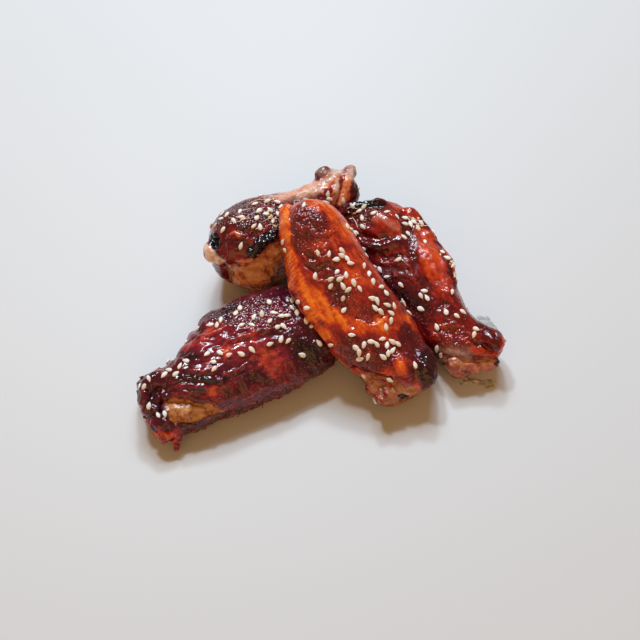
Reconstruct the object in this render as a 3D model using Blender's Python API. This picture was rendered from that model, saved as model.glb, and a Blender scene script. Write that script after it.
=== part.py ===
"""A serving of glazed chicken wing pieces, heaped as they were set down: three
flats (the two-bone middle joint) and one drumette.

Every piece is one closed solid, lofted along its bones. A row of stations
gives the half widths, the height above and the depth below the bone line; the
ring at a station is a superellipse, the two ends are rounded off, and soft
lumps push the skin out over joints and muscles or draw it in at the creases.
Where a piece lies on the table or against its neighbour the flesh is flat.

Units: sizes below are millimetres, the scene is in metres, +Z is up. The
origin is on the table under the middle of the heap's box.
"""

import math

import bmesh
import bpy
import numpy as np
from mathutils import Vector
from mathutils.bvhtree import BVHTree

MM = 0.001

RINGS = 37            # rings along a piece
AROUND = 32           # points round a ring
END_BUNCHING = 0.62   # how far rings crowd towards the rounded ends
TABLE_PRESS = 0.0     # height of the flat that the weight presses on the table
CLEARANCE = 0.7       # gap kept at the points of two pieces that touch

# Middle of the heap's box, in the layout the bone lines are given in.
HEAP_MIDDLE = (1.46, 1.37)

# a, b: the two ends of the bone line, on the layout, mm.
# roll: turn about the bone line, degrees; positive lifts the left side.
# ends: share of the length that each end rounds off over, and its squareness.
# stations: share of length, half width left, half width right, height above,
#   depth below, squareness of the ring. Left and right are seen from end a
#   with the skin side up.
# lumps: share of length, angle round the ring (0 left, 90 skin side, 180
#   right, 270 under side), reach mm, push mm (negative draws in), push along
#   the bone line mm.
PIECES = {
    "wing_front": {
        "a": (-7.5, 23.6, 33.0), "b": (30.0, -34.0, 4.0), "roll": 2.0,
        "ends": (0.15, 0.10, 2.3),
        "stations": [
            (0.00, 7.0, 8.5, 8.0, 7.0, 2.2),
            (0.06, 9.5, 10.5, 8.5, 7.5, 2.2),
            (0.14, 11.0, 12.0, 9.0, 7.8, 2.2),
            (0.26, 11.0, 15.5, 9.0, 7.8, 2.2),
            (0.36, 10.8, 17.8, 9.5, 7.8, 2.2),
            (0.46, 11.2, 18.6, 9.5, 7.8, 2.2),
            (0.56, 12.2, 17.6, 9.5, 7.8, 2.2),
            (0.64, 13.0, 16.4, 9.5, 7.8, 2.2),
            (0.72, 13.3, 13.6, 9.0, 7.8, 2.2),
            (0.82, 13.0, 11.0, 8.5, 7.5, 2.2),
            (0.90, 12.5, 11.0, 8.0, 7.2, 2.3),
            (1.00, 9.0, 11.5, 7.5, 6.5, 2.3),
        ],
        "lumps": [
            (0.10, 80, 7.0, 1.0, 0.0),     # elbow knuckle under the skin
            (0.22, 118, 7.0, -1.1, 0.0),   # hollow between the two bones
            (0.40, 125, 8.0, -1.2, 0.0),
            (0.58, 120, 8.0, -1.1, 0.0),
            (0.45, 70, 9.0, 0.9, 0.0),     # muscle over the larger bone
            (0.84, 88, 5.5, 1.3, 0.0),     # bone end near the wrist
            (0.93, 150, 5.5, 1.2, 0.6),
            (0.97, 30, 6.0, 1.4, 0.8),
            (1.00, 105, 5.0, -1.6, -0.8),  # notch between the wrist bones
        ],
    },
    "wing_right": {
        "a": (17.2, 35.6, 13.4), "b": (55.6, -21.6, 6.6), "roll": 9.0,
        "ends": (0.14, 0.09, 2.5),
        "stations": [
            (0.00, 10.0, 13.5, 9.0, 9.0, 2.3),
            (0.12, 10.2, 15.5, 10.0, 9.0, 2.2),
            (0.25, 9.4, 16.0, 10.0, 9.0, 2.2),
            (0.45, 8.8, 16.4, 10.0, 8.5, 2.2),
            (0.60, 7.2, 16.0, 9.5, 8.0, 2.2),
            (0.72, 4.6, 14.5, 9.0, 7.5, 2.2),
            (0.82, 4.8, 13.0, 8.0, 7.5, 2.2),
            (0.90, 7.5, 12.5, 7.5, 7.5, 2.3),
            (1.00, 8.5, 12.0, 7.0, 7.0, 2.3),
        ],
        "lumps": [
            (0.02, 185, 8.5, 2.4, -4.6),   # corner of the charred elbow end
            (0.16, 100, 7.0, 1.4, 0.0),
            (0.30, 115, 5.0, -1.4, 0.0),   # fold across the skin
            (0.42, 75, 8.0, 1.0, 0.0),
            (0.60, 120, 7.0, -0.9, 0.0),
            (0.92, 40, 5.0, 1.6, 0.5),     # lip of skin over the wrist
            (0.95, 100, 4.5, -1.0, 0.0),
            (0.96, 185, 6.0, 1.2, 0.6),
        ],
    },
    "wing_left": {
        "a": (-56.9, -37.5, 7.0), "b": (5.4, -8.6, 9.8), "roll": 12.0,
        "ends": (0.07, 0.14, 2.3),
        "stations": [
            (0.00, 4.6, 8.5, 5.0, 5.0, 2.2),
            (0.06, 8.0, 12.0, 6.0, 6.5, 2.2),
            (0.14, 7.6, 13.0, 7.5, 7.5, 2.2),
            (0.22, 10.0, 14.0, 9.0, 8.0, 2.2),
            (0.32, 14.5, 14.2, 10.0, 8.5, 2.2),
            (0.45, 19.5, 15.0, 10.5, 8.5, 2.2),
            (0.60, 20.5, 15.0, 10.5, 8.5, 2.2),
            (0.75, 20.5, 14.0, 10.0, 8.5, 2.2),
            (0.88, 18.0, 12.5, 9.0, 8.0, 2.2),
            (1.00, 14.0, 11.0, 8.0, 7.0, 2.2),
        ],
        "lumps": [
            (0.05, 175, 4.5, 2.2, -1.0),   # shrunken remains of the wing tip
            (0.04, 60, 4.5, 0.6, 0.4),
            (0.11, 110, 4.0, -1.4, 0.0),
            (0.16, 170, 5.0, 1.2, 0.0),    # bare wrist bone
            (0.34, 95, 7.0, 0.9, 0.0),
            (0.48, 120, 7.0, -1.0, 0.0),
            (0.62, 70, 8.0, 0.9, 0.0),
            (0.70, 125, 7.0, -0.8, 0.0),
        ],
    },
    "drumette": {
        "a": (-35.5, 11.3, 15.3), "b": (10.1, 47.2, 16.8), "roll": 0.0,
        "ends": (0.20, 0.06, 2.1),
        "stations": [
            (0.00, 9.0, 12.5, 12.0, 13.5, 2.1),
            (0.10, 12.0, 14.2, 13.0, 15.2, 2.15),
            (0.25, 13.3, 15.2, 13.5, 17.0, 2.2),
            (0.40, 12.0, 14.6, 13.0, 16.5, 2.2),
            (0.55, 9.0, 11.6, 10.5, 13.0, 2.15),
            (0.70, 6.5, 9.0, 8.0, 9.5, 2.1),
            (0.82, 6.2, 8.4, 7.0, 9.0, 2.1),
            (0.92, 7.6, 7.9, 7.3, 8.6, 2.1),
            (1.00, 7.4, 7.2, 6.6, 7.6, 2.1),
        ],
        "lumps": [
            (0.24, 95, 8.0, 1.5, 0.0),     # crown of the thick end
            (0.03, 120, 5.5, 2.0, -1.5),   # small lobe at the cut joint
            (0.05, 190, 6.5, -3.4, 1.5),   # crease below it
            (0.16, 205, 7.5, 1.8, 0.0),    # bare meat
            (0.30, 190, 5.0, -1.0, 0.0),
            (0.88, 60, 3.4, 3.0, -0.4),    # two knobs of the bone end
            (1.00, 80, 3.2, 2.4, 1.4),
            (0.95, 68, 2.6, -1.8, -0.6),
            (0.90, 140, 3.0, -1.2, 0.0),
            (0.97, 170, 4.0, 1.2, 0.5),
        ],
    },
}

# The order they were set down in. A later piece gives way to the earlier ones.
SET_DOWN = ("drumette", "wing_left", "wing_right", "wing_front")

# name: (red, green, blue), roughness
FINISHES = {
    "wing_front": ((0.36, 0.070, 0.022), 0.30),
    "wing_right": ((0.27, 0.045, 0.020), 0.32),
    "wing_left": ((0.17, 0.024, 0.018), 0.28),
    "drumette": ((0.30, 0.085, 0.040), 0.35),
}


def curve_through(x, known_x, known_y):
    """Smooth curve through the known points, read at x."""
    known_x, known_y = np.array(known_x, float), np.array(known_y, float)
    step = np.diff(known_x)
    rise = np.diff(known_y) / step
    slope = np.empty(len(known_x))
    slope[0], slope[-1] = rise[0], rise[-1]
    slope[1:-1] = (rise[:-1] * step[1:] + rise[1:] * step[:-1]) / (step[:-1] + step[1:])
    k = np.clip(np.searchsorted(known_x, x, side="right") - 1, 0, len(step) - 1)
    t = (x - known_x[k]) / step[k]
    return (
        (2 * t**3 - 3 * t**2 + 1) * known_y[k]
        + (t**3 - 2 * t**2 + t) * step[k] * slope[k]
        + (3 * t**2 - 2 * t**3) * known_y[k + 1]
        + (t**3 - t**2) * step[k] * slope[k + 1]
    )


def axes_of(piece):
    """Start, length and the three directions of a piece: along, left, skin side."""
    start, end = Vector(piece["a"]), Vector(piece["b"])
    start -= Vector((*HEAP_MIDDLE, 0))
    end -= Vector((*HEAP_MIDDLE, 0))
    along = end - start
    length = along.length
    along.normalize()
    up = Vector((0, 0, 1)) - along * along.z
    up.normalize()
    left = up.cross(along)
    roll = math.radians(piece["roll"])
    return (
        np.array(start),
        length,
        np.array(along),
        np.array(left * math.cos(roll) + up * math.sin(roll)),
        np.array(up * math.cos(roll) - left * math.sin(roll)),
    )


def round_off(share, power):
    """0 at the tip, rising to 1 where the rounded end stops."""
    return (1 - (1 - np.clip(share, 0, 1)) ** power) ** (1 / power)


def section(angles, squareness):
    """Unit superellipse: its side and height parts."""
    c, s = np.cos(angles), np.sin(angles)
    power = 2 / squareness
    return np.sign(c) * np.abs(c) ** power, np.sign(s) * np.abs(s) ** power


def rings_of(piece):
    """Ring points of a piece in its own axes: (rings, points, along/left/skin)."""
    start, length, *_ = axes_of(piece)
    q = np.linspace(0.0, 1.0, RINGS)
    share = q - END_BUNCHING * np.sin(2 * math.pi * q) / (2 * math.pi)
    share = 0.0025 + 0.995 * share
    near, far, power = piece["ends"]
    fill = round_off(share / near, power) * round_off((1 - share) / far, power)
    known = np.array(piece["stations"])
    left, right, above, below, square = (
        curve_through(share, known[:, 0], known[:, k]) for k in range(1, 6)
    )
    angles = np.arange(AROUND) * 2 * math.pi / AROUND
    rings = np.zeros((RINGS, AROUND, 3))
    for i in range(RINGS):
        side, height = section(angles, square[i])
        rings[i, :, 0] = share[i] * length
        rings[i, :, 1] = np.where(side > 0, left[i], right[i]) * side * fill[i]
        rings[i, :, 2] = np.where(height > 0, above[i], below[i]) * height * fill[i]
    for at, angle, reach, push, push_along in piece["lumps"]:
        i = int(np.argmin(np.abs(share - at)))
        j = round(angle / 360 * AROUND) % AROUND
        centre = rings[i, j].copy()
        way = np.array((0.0, math.cos(math.radians(angle)), math.sin(math.radians(angle))))
        near_by = np.exp(-((rings - centre) ** 2).sum(axis=2) / reach**2)
        rings += near_by[..., None] * (push * way + np.array((push_along, 0.0, 0.0)))
    return rings


def placed(piece, points):
    start, _, along, left, skin = axes_of(piece)
    return start + points[..., :1] * along + points[..., 1:2] * left + points[..., 2:] * skin


def pressed_flat(points):
    """Flesh that would lie below the table spreads flat on it."""
    flat = points.copy()
    flat[..., 2] = np.maximum(flat[..., 2], TABLE_PRESS)
    return flat


def pressed_against(points, neighbours):
    """Flesh that would lie in a neighbour follows the neighbour's surface."""
    flat = points.reshape(-1, 3).copy()
    for tree in neighbours:
        for i, point in enumerate(flat):
            found, normal, _, distance = tree.find_nearest(Vector(point), 20.0)
            if found is None:
                continue
            inside = (Vector(point) - found).dot(normal) < 0
            if inside or distance < CLEARANCE:
                flat[i] = found + normal * CLEARANCE
    return flat.reshape(points.shape)


def material_for(name):
    colour, roughness = FINISHES[name]
    material = bpy.data.materials.new(name + "_glaze")
    material.use_nodes = True
    shader = material.node_tree.nodes["Principled BSDF"]
    shader.inputs["Base Color"].default_value = (*colour, 1.0)
    shader.inputs["Roughness"].default_value = roughness
    shader.inputs["Metallic"].default_value = 0.0
    return material


def build_piece(name, neighbours):
    """Makes the piece, and adds its surface to the neighbours of the next one."""
    piece = PIECES[name]
    rings = pressed_flat(pressed_against(placed(piece, rings_of(piece)), neighbours))
    rings *= MM
    mesh = bmesh.new()
    loops = [[mesh.verts.new(p) for p in ring] for ring in rings]
    for first, second in zip(loops, loops[1:]):
        for j in range(AROUND):
            k = (j + 1) % AROUND
            mesh.faces.new((first[j], second[j], second[k], first[k]))
    for ring, points, flip in ((loops[0], rings[0], False), (loops[-1], rings[-1], True)):
        tip = mesh.verts.new(points.mean(axis=0))
        for j in range(AROUND):
            k = (j + 1) % AROUND
            mesh.faces.new((ring[k], ring[j], tip) if flip else (ring[j], ring[k], tip))
    bmesh.ops.recalc_face_normals(mesh, faces=mesh.faces)
    bmesh.ops.triangulate(mesh, faces=mesh.faces)
    mesh.verts.index_update()
    neighbours.append(
        BVHTree.FromPolygons(
            [v.co / MM for v in mesh.verts],
            [[v.index for v in face.verts] for face in mesh.faces],
        )
    )
    data = bpy.data.meshes.new(name)
    mesh.to_mesh(data)
    mesh.free()
    data.shade_smooth()
    data.materials.append(material_for(name))
    thing = bpy.data.objects.new(name, data)
    bpy.context.scene.collection.objects.link(thing)
    return thing


def main():
    for old in list(bpy.data.objects):
        bpy.data.objects.remove(old)
    heap = bpy.data.objects.new("wing_heap", None)
    bpy.context.scene.collection.objects.link(heap)
    neighbours = []
    for name in SET_DOWN:
        build_piece(name, neighbours).parent = heap


main()
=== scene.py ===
"""Looks of the chicken wing serving: sticky glazed skin, char, bare meat, sesame
seeds, crumbs and drips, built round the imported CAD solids.

Lengths in the modelling part are millimetres in the row frame; objects are in
metres. Details are laid out on a picture plane: the fixed plane of the main
camera, 640 x 640 units, one unit being 0.34 mm at the origin.
"""
import math
import time

import bpy
import numpy as np
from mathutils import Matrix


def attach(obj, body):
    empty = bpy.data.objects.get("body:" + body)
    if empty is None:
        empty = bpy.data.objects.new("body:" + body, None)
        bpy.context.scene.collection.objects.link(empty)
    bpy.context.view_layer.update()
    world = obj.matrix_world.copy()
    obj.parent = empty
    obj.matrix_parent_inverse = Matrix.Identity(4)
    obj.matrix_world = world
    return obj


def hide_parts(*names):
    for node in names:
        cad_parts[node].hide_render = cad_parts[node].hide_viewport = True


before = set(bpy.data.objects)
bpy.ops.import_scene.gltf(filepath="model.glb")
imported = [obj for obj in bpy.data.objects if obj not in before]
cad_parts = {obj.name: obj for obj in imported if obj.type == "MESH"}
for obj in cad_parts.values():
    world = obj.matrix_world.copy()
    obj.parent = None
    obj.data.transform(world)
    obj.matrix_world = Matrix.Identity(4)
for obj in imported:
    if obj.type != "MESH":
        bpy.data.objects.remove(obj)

import openvdb
from mathutils import Vector
from mathutils.bvhtree import BVHTree

STARTED = time.time()
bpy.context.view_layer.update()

MM = 0.001
VOXEL = 0.30
BAND = 9              # voxels on each side of the surface

# ------------------------------------------------------------------ camera
UNIT = 0.34           # mm for one picture unit at the origin
ELEVATION = math.radians(55.0)
DISTANCE = 423.0
AIM = np.array((-1.46, -1.37, 0.0))
FORWARD = np.array((0.0, math.cos(ELEVATION), -math.sin(ELEVATION)))
UPWARD = np.array((0.0, math.sin(ELEVATION), math.cos(ELEVATION)))
EYE = AIM - DISTANCE * FORWARD


def on_picture(points):
    """Where points (mm) fall on the picture plane: u to the right, v down."""
    away = points - EYE
    depth = away @ FORWARD
    scale = DISTANCE / UNIT / depth
    return 320 + away[:, 0] * scale, 320 - (away @ UPWARD) * scale


def ray_through(u, v):
    way = (
        FORWARD
        + np.array((1.0, 0.0, 0.0)) * (u - 320) * UNIT / DISTANCE
        + UPWARD * (320 - v) * UNIT / DISTANCE
    )
    return way / np.linalg.norm(way)


# ------------------------------------------------------------------- noise
def mixed(ix, iy, iz, seed):
    """One scrambled 32-bit number per lattice point."""
    h = (
        ix.astype(np.int64) * 374761393
        + iy.astype(np.int64) * 668265263
        + iz.astype(np.int64) * 1440662683
        + seed * 1013904223
    ).astype(np.uint64) & np.uint64(0xFFFFFFFF)
    h = ((h ^ (h >> np.uint64(13))) * np.uint64(1274126177)) & np.uint64(0xFFFFFFFF)
    h = ((h ^ (h >> np.uint64(15))) * np.uint64(2246822519)) & np.uint64(0xFFFFFFFF)
    return h ^ (h >> np.uint64(16))


def unit_of(h, shift=0):
    return ((h >> np.uint64(shift)) & np.uint64(0xFFFF)).astype(np.float32) / 65535.0


def noise(points, size, seed):
    """Gradient noise, about -1 to 1, features of the given size in mm."""
    q = points / size
    base = np.floor(q).astype(np.int64)
    f = (q - base).astype(np.float32)
    w = f * f * f * (f * (f * 6 - 15) + 10)
    total = np.zeros(len(q), np.float32)
    for dx in (0, 1):
        for dy in (0, 1):
            for dz in (0, 1):
                h = mixed(base[:, 0] + dx, base[:, 1] + dy, base[:, 2] + dz, seed)
                turn = unit_of(h) * 2 * math.pi
                height = unit_of(h, 16) * 2 - 1
                flat = np.sqrt(np.maximum(0, 1 - height * height))
                dot = (
                    np.cos(turn) * flat * (f[:, 0] - dx)
                    + np.sin(turn) * flat * (f[:, 1] - dy)
                    + height * (f[:, 2] - dz)
                )
                weight = (
                    (w[:, 0] if dx else 1 - w[:, 0])
                    * (w[:, 1] if dy else 1 - w[:, 1])
                    * (w[:, 2] if dz else 1 - w[:, 2])
                )
                total += dot * weight
    return total * 1.5


def layered(points, size, seed, octaves=3, gain=0.5):
    total, scale, most = 0.0, 1.0, 0.0
    for k in range(octaves):
        total = total + scale * noise(points, size / 2**k, seed + 17 * k)
        most += scale
        scale *= gain
    return total / most


def ridged(points, size, seed, octaves=2):
    total, scale, most = 0.0, 1.0, 0.0
    for k in range(octaves):
        total = total + scale * (1 - 2 * np.abs(noise(points, size / 2**k, seed + 31 * k)))
        most += scale
        scale *= 0.5
    return total / most


def cells(points, size, seed):
    """Cell noise: distance to the nearest and second point, in cells, and the nearest's number."""
    q = points / size
    base = np.floor(q).astype(np.int64)
    best = np.full(len(q), 9.0, np.float32)
    second = np.full(len(q), 9.0, np.float32)
    number = np.zeros(len(q), np.float32)
    for dx in (-1, 0, 1):
        for dy in (-1, 0, 1):
            for dz in (-1, 0, 1):
                ix, iy, iz = base[:, 0] + dx, base[:, 1] + dy, base[:, 2] + dz
                h = mixed(ix, iy, iz, seed)
                g = mixed(ix, iy, iz, seed + 7)
                d = np.sqrt(
                    (ix + 0.1 + 0.8 * unit_of(h) - q[:, 0]) ** 2
                    + (iy + 0.1 + 0.8 * unit_of(h, 16) - q[:, 1]) ** 2
                    + (iz + 0.1 + 0.8 * unit_of(g) - q[:, 2]) ** 2
                ).astype(np.float32)
                closer = d < best
                second = np.where(closer, best, np.minimum(second, d))
                number = np.where(closer, unit_of(g, 16), number)
                best = np.where(closer, d, best)
    return best, second, number


def step(low, high, x):
    t = np.clip((x - low) / (high - low), 0, 1)
    return t * t * (3 - 2 * t)


# ------------------------------------------------- marks on the picture plane
def to_line(u, v, line):
    """Distance of (u, v) from a broken line, and how far along it, 0 to 1."""
    line = np.array(line, float)
    best = np.full(len(u), 1e9)
    along = np.zeros(len(u))
    lengths = np.hypot(*(line[1:] - line[:-1]).T)
    total, run = lengths.sum(), 0.0
    for (x0, y0), (x1, y1), length in zip(line, line[1:], lengths):
        t = np.clip(((u - x0) * (x1 - x0) + (v - y0) * (y1 - y0)) / length**2, 0, 1)
        d = np.hypot(u - x0 - t * (x1 - x0), v - y0 - t * (y1 - y0))
        closer = d < best
        best = np.where(closer, d, best)
        along = np.where(closer, (run + t * length) / total, along)
        run += length
    return best, along


def stroke(u, v, line, width, soft=1.0):
    """1 within width of the line, 0 beyond width plus soft. Tapers at both ends."""
    d, along = to_line(u, v, line)
    taper = np.sqrt(np.clip(4.0 * along * (1 - along), 0.12, 1))
    return 1 - step(width * taper, width * taper + soft, d)


def patch(u, v, outline, soft=2.0):
    """1 inside a closed outline, falling to 0 over soft on both sides of its edge."""
    outline = np.array(outline, float)
    inside = np.zeros(len(u), bool)
    best = np.full(len(u), 1e9)
    for (x0, y0), (x1, y1) in zip(outline, np.roll(outline, -1, axis=0)):
        crosses = (y0 > v) != (y1 > v)
        where = x0 + (v - y0) * (x1 - x0) / (y1 - y0 + 1e-12)
        inside ^= crosses & (u < where)
        length = (x1 - x0) ** 2 + (y1 - y0) ** 2 + 1e-12
        t = np.clip(((u - x0) * (x1 - x0) + (v - y0) * (y1 - y0)) / length, 0, 1)
        best = np.minimum(best, np.hypot(u - x0 - t * (x1 - x0), v - y0 - t * (y1 - y0)))
    return step(-soft, soft, np.where(inside, best, -best))


def spot(u, v, x, y, rx, ry, turn=0.0, soft=0.5):
    """An oval spot: 1 at its middle, 0.5 near its edge."""
    c, s = math.cos(math.radians(turn)), math.sin(math.radians(turn))
    a = ((u - x) * c + (v - y) * s) / rx
    b = (-(u - x) * s + (v - y) * c) / ry
    return 1 - step(1 - soft, 1 + soft, np.hypot(a, b))


# ----------------------------------------------------------- solid modelling
def blurred(field, sigma):
    """Gaussian blur of a 3-D field, sigma in voxels."""
    reach = int(math.ceil(2.5 * sigma))
    taps = np.exp(-np.arange(-reach, reach + 1) ** 2 / (2 * sigma * sigma))
    taps = (taps / taps.sum()).astype(np.float32)
    for axis in range(3):
        padded = np.pad(field, [(reach, reach) if k == axis else (0, 0) for k in range(3)], mode="edge")
        out = np.zeros_like(field)
        for k, tap in enumerate(taps):
            cut = [slice(None)] * 3
            cut[axis] = slice(k, k + field.shape[axis])
            out += tap * padded[tuple(cut)]
        field = out
    return field


def distance_field(node, spare):
    """Signed distance (mm) to a CAD node on a regular grid, and the grid's corner."""
    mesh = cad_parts[node].data
    points = np.empty(len(mesh.vertices) * 3, np.float32)
    mesh.vertices.foreach_get("co", points)
    points = points.reshape(-1, 3) / MM
    mesh.calc_loop_triangles()
    faces = np.empty(len(mesh.loop_triangles) * 3, np.int32)
    mesh.loop_triangles.foreach_get("vertices", faces)
    low = np.floor((points.min(axis=0) - spare) / VOXEL).astype(int)
    high = np.ceil((points.max(axis=0) + spare) / VOXEL).astype(int)
    grid = openvdb.FloatGrid.createLevelSetFromPolygons(
        np.ascontiguousarray(points),
        triangles=np.ascontiguousarray(faces.reshape(-1, 3).astype(np.uint32)),
        transform=openvdb.createLinearTransform(voxelSize=VOXEL),
        halfWidth=float(BAND),
    )
    field = np.empty(tuple(high - low + 1), np.float32)
    grid.copyToArray(field, ijk=tuple(int(k) for k in low))
    return field, low


def blended(first, second, soft):
    """Smooth union of two distance fields."""
    h = np.clip(0.5 + 0.5 * (second - first) / soft, 0, 1)
    return second * (1 - h) + first * h - soft * h * (1 - h)


class Clay:
    """A distance field that lumps are added to and cut from, in mm."""

    def __init__(self, node, spare=6.0, smooth=1.1):
        self.field, self.low = distance_field(node, spare)
        self.field = blurred(self.field, smooth / VOXEL)

    def window(self, low, high):
        size = np.array(self.field.shape)
        a = np.clip(np.floor(np.array(low) / VOXEL).astype(int) - self.low, 0, size)
        b = np.clip(np.ceil(np.array(high) / VOXEL).astype(int) - self.low + 1, 0, size)
        cut = tuple(slice(i, j) for i, j in zip(a, b))
        axes = [(np.arange(i, j) + o).astype(np.float32) * VOXEL for i, j, o in zip(a, b, self.low)]
        return cut, np.meshgrid(*axes, indexing="ij")

    def rod(self, path, radii, soft=1.5, cut=False, flat=1.0):
        """Adds (or cuts) a rod along a path of points, its radius changing from point to point."""
        path, radii = np.array(path, float), np.array(radii, float)
        reach = radii.max() + soft + 1.5
        window, (x, y, z) = self.window(path.min(axis=0) - reach, path.max(axis=0) + reach)
        if x.size == 0:
            return
        rod = np.full(x.shape, 1e3, np.float32)
        for p, q, r0, r1 in zip(path, path[1:], radii, radii[1:]):
            d = q - p
            t = np.clip(((x - p[0]) * d[0] + (y - p[1]) * d[1] + (z - p[2]) * d[2]) / (d @ d + 1e-9), 0, 1)
            away = np.sqrt(
                (x - p[0] - t * d[0]) ** 2 + (y - p[1] - t * d[1]) ** 2 + (z - p[2] - t * d[2]) ** 2
            )
            rod = np.minimum(rod, away - (r0 + t * (r1 - r0)))
        old = self.field[window]
        if cut:
            self.field[window] = -blended(-old, rod, soft)
        else:
            self.field[window] = blended(old, rod, soft)

    def ball(self, centre, radii, turn=0.0, soft=1.5, cut=False):
        """Adds (or cuts) an oval lump; turn is about the vertical axis, degrees."""
        centre, radii = np.array(centre, float), np.array(radii, float)
        reach = radii.max() + soft + 1.5
        window, (x, y, z) = self.window(centre - reach, centre + reach)
        if x.size == 0:
            return
        c, s = math.cos(math.radians(turn)), math.sin(math.radians(turn))
        a = ((x - centre[0]) * c + (y - centre[1]) * s) / radii[0]
        b = (-(x - centre[0]) * s + (y - centre[1]) * c) / radii[1]
        k = (z - centre[2]) / radii[2]
        far = np.sqrt(a * a + b * b + k * k)
        lump = (far - 1) * radii.min()
        old = self.field[window]
        if cut:
            self.field[window] = -blended(-old, lump, soft)
        else:
            self.field[window] = blended(old, lump, soft)

    def mesh(self):
        """Points (mm) and quads of the surface."""
        low_z = -self.low[2]
        if 0 < low_z < self.field.shape[2]:
            # nothing reaches below the table
            z = (np.arange(self.field.shape[2]) + self.low[2]).astype(np.float32) * VOXEL
            self.field = np.maximum(self.field, -z[None, None, :] + 0.02)
        limit = np.float32(BAND * VOXEL)
        field = np.clip(self.field, -limit, limit)
        grid = openvdb.FloatGrid(float(limit))
        grid.copyFromArray(np.ascontiguousarray(field), ijk=tuple(int(k) for k in self.low))
        grid.transform = openvdb.createLinearTransform(voxelSize=VOXEL)
        points, triangles, quads = grid.convertToPolygons(isovalue=0.0, adaptivity=0.0)
        return points.astype(np.float64), quads.astype(np.int64)


def largest_part(points, quads):
    """Drops everything but the largest connected part."""
    label = np.arange(len(points))
    while True:
        low = label[quads].min(axis=1)
        new = label.copy()
        for k in range(4):
            np.minimum.at(new, quads[:, k], low)
        new = new[new]
        if (new == label).all():
            break
        label = new
    names, counts = np.unique(label, return_counts=True)
    keep = label == names[counts.argmax()]
    number = np.cumsum(keep) - 1
    kept = keep[quads].all(axis=1)
    return points[keep], number[quads[kept]]


def normals_of(points, quads):
    """Area-weighted vertex normals."""
    a = points[quads[:, 2]] - points[quads[:, 0]]
    b = points[quads[:, 3]] - points[quads[:, 1]]
    face = np.cross(a, b)
    total = np.zeros_like(points)
    for k in range(4):
        for axis in range(3):
            total[:, axis] += np.bincount(quads[:, k], face[:, axis], len(points))
    size = np.linalg.norm(total, axis=1, keepdims=True)
    return total / np.maximum(size, 1e-12)


def relaxed(values, quads, rounds, weight=0.5):
    """Averages vertex values with their neighbours."""
    count = np.zeros(len(values))
    for k in range(4):
        count += 2 * np.bincount(quads[:, k], minlength=len(values))
    for _ in range(rounds):
        total = np.zeros_like(values)
        for k in range(4):
            j, m = quads[:, (k + 1) % 4], quads[:, (k + 3) % 4]
            if values.ndim == 1:
                total += np.bincount(quads[:, k], values[j] + values[m], len(values))
            else:
                for axis in range(values.shape[1]):
                    total[:, axis] += np.bincount(quads[:, k], values[j, axis] + values[m, axis], len(values))
        mean = total / (count if values.ndim == 1 else count[:, None])
        values = values + weight * (mean - values)
    return values


def make_object(name, points, faces, attributes=None, material=None):
    """A smooth-shaded object from points in mm."""
    faces = np.asarray(faces)
    mesh = bpy.data.meshes.new(name)
    sides = faces.shape[1]
    mesh.vertices.add(len(points))
    mesh.vertices.foreach_set("co", (np.asarray(points) * MM).astype(np.float32).ravel())
    mesh.loops.add(faces.size)
    mesh.loops.foreach_set("vertex_index", faces.astype(np.int32).ravel())
    mesh.polygons.add(len(faces))
    mesh.polygons.foreach_set("loop_start", np.arange(len(faces), dtype=np.int32) * sides)
    mesh.update(calc_edges=True)
    mesh.validate()
    mesh.shade_smooth()
    for key, values in (attributes or {}).items():
        layer = mesh.attributes.new(key, "FLOAT", "POINT")
        layer.data.foreach_set("value", np.clip(values, 0, 1).astype(np.float32))
    if material:
        mesh.materials.append(material)
    thing = bpy.data.objects.new(name, mesh)
    bpy.context.scene.collection.objects.link(thing)
    return thing


# -------------------------------------------------------------- wing pieces
# Bone lines as in the layout: start, end (mm) and roll (degrees).
BONES = {
    "wing_front": ((-8.96, 22.23, 33.0), (28.54, -35.37, 4.0), 2.0),
    "wing_right": ((15.74, 34.23, 13.4), (54.14, -22.97, 6.6), 9.0),
    "wing_left": ((-58.36, -38.87, 7.0), (3.94, -9.97, 9.8), 12.0),
    "drumette": ((-36.96, 9.93, 15.3), (8.64, 45.83, 16.8), 0.0),
}


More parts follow.
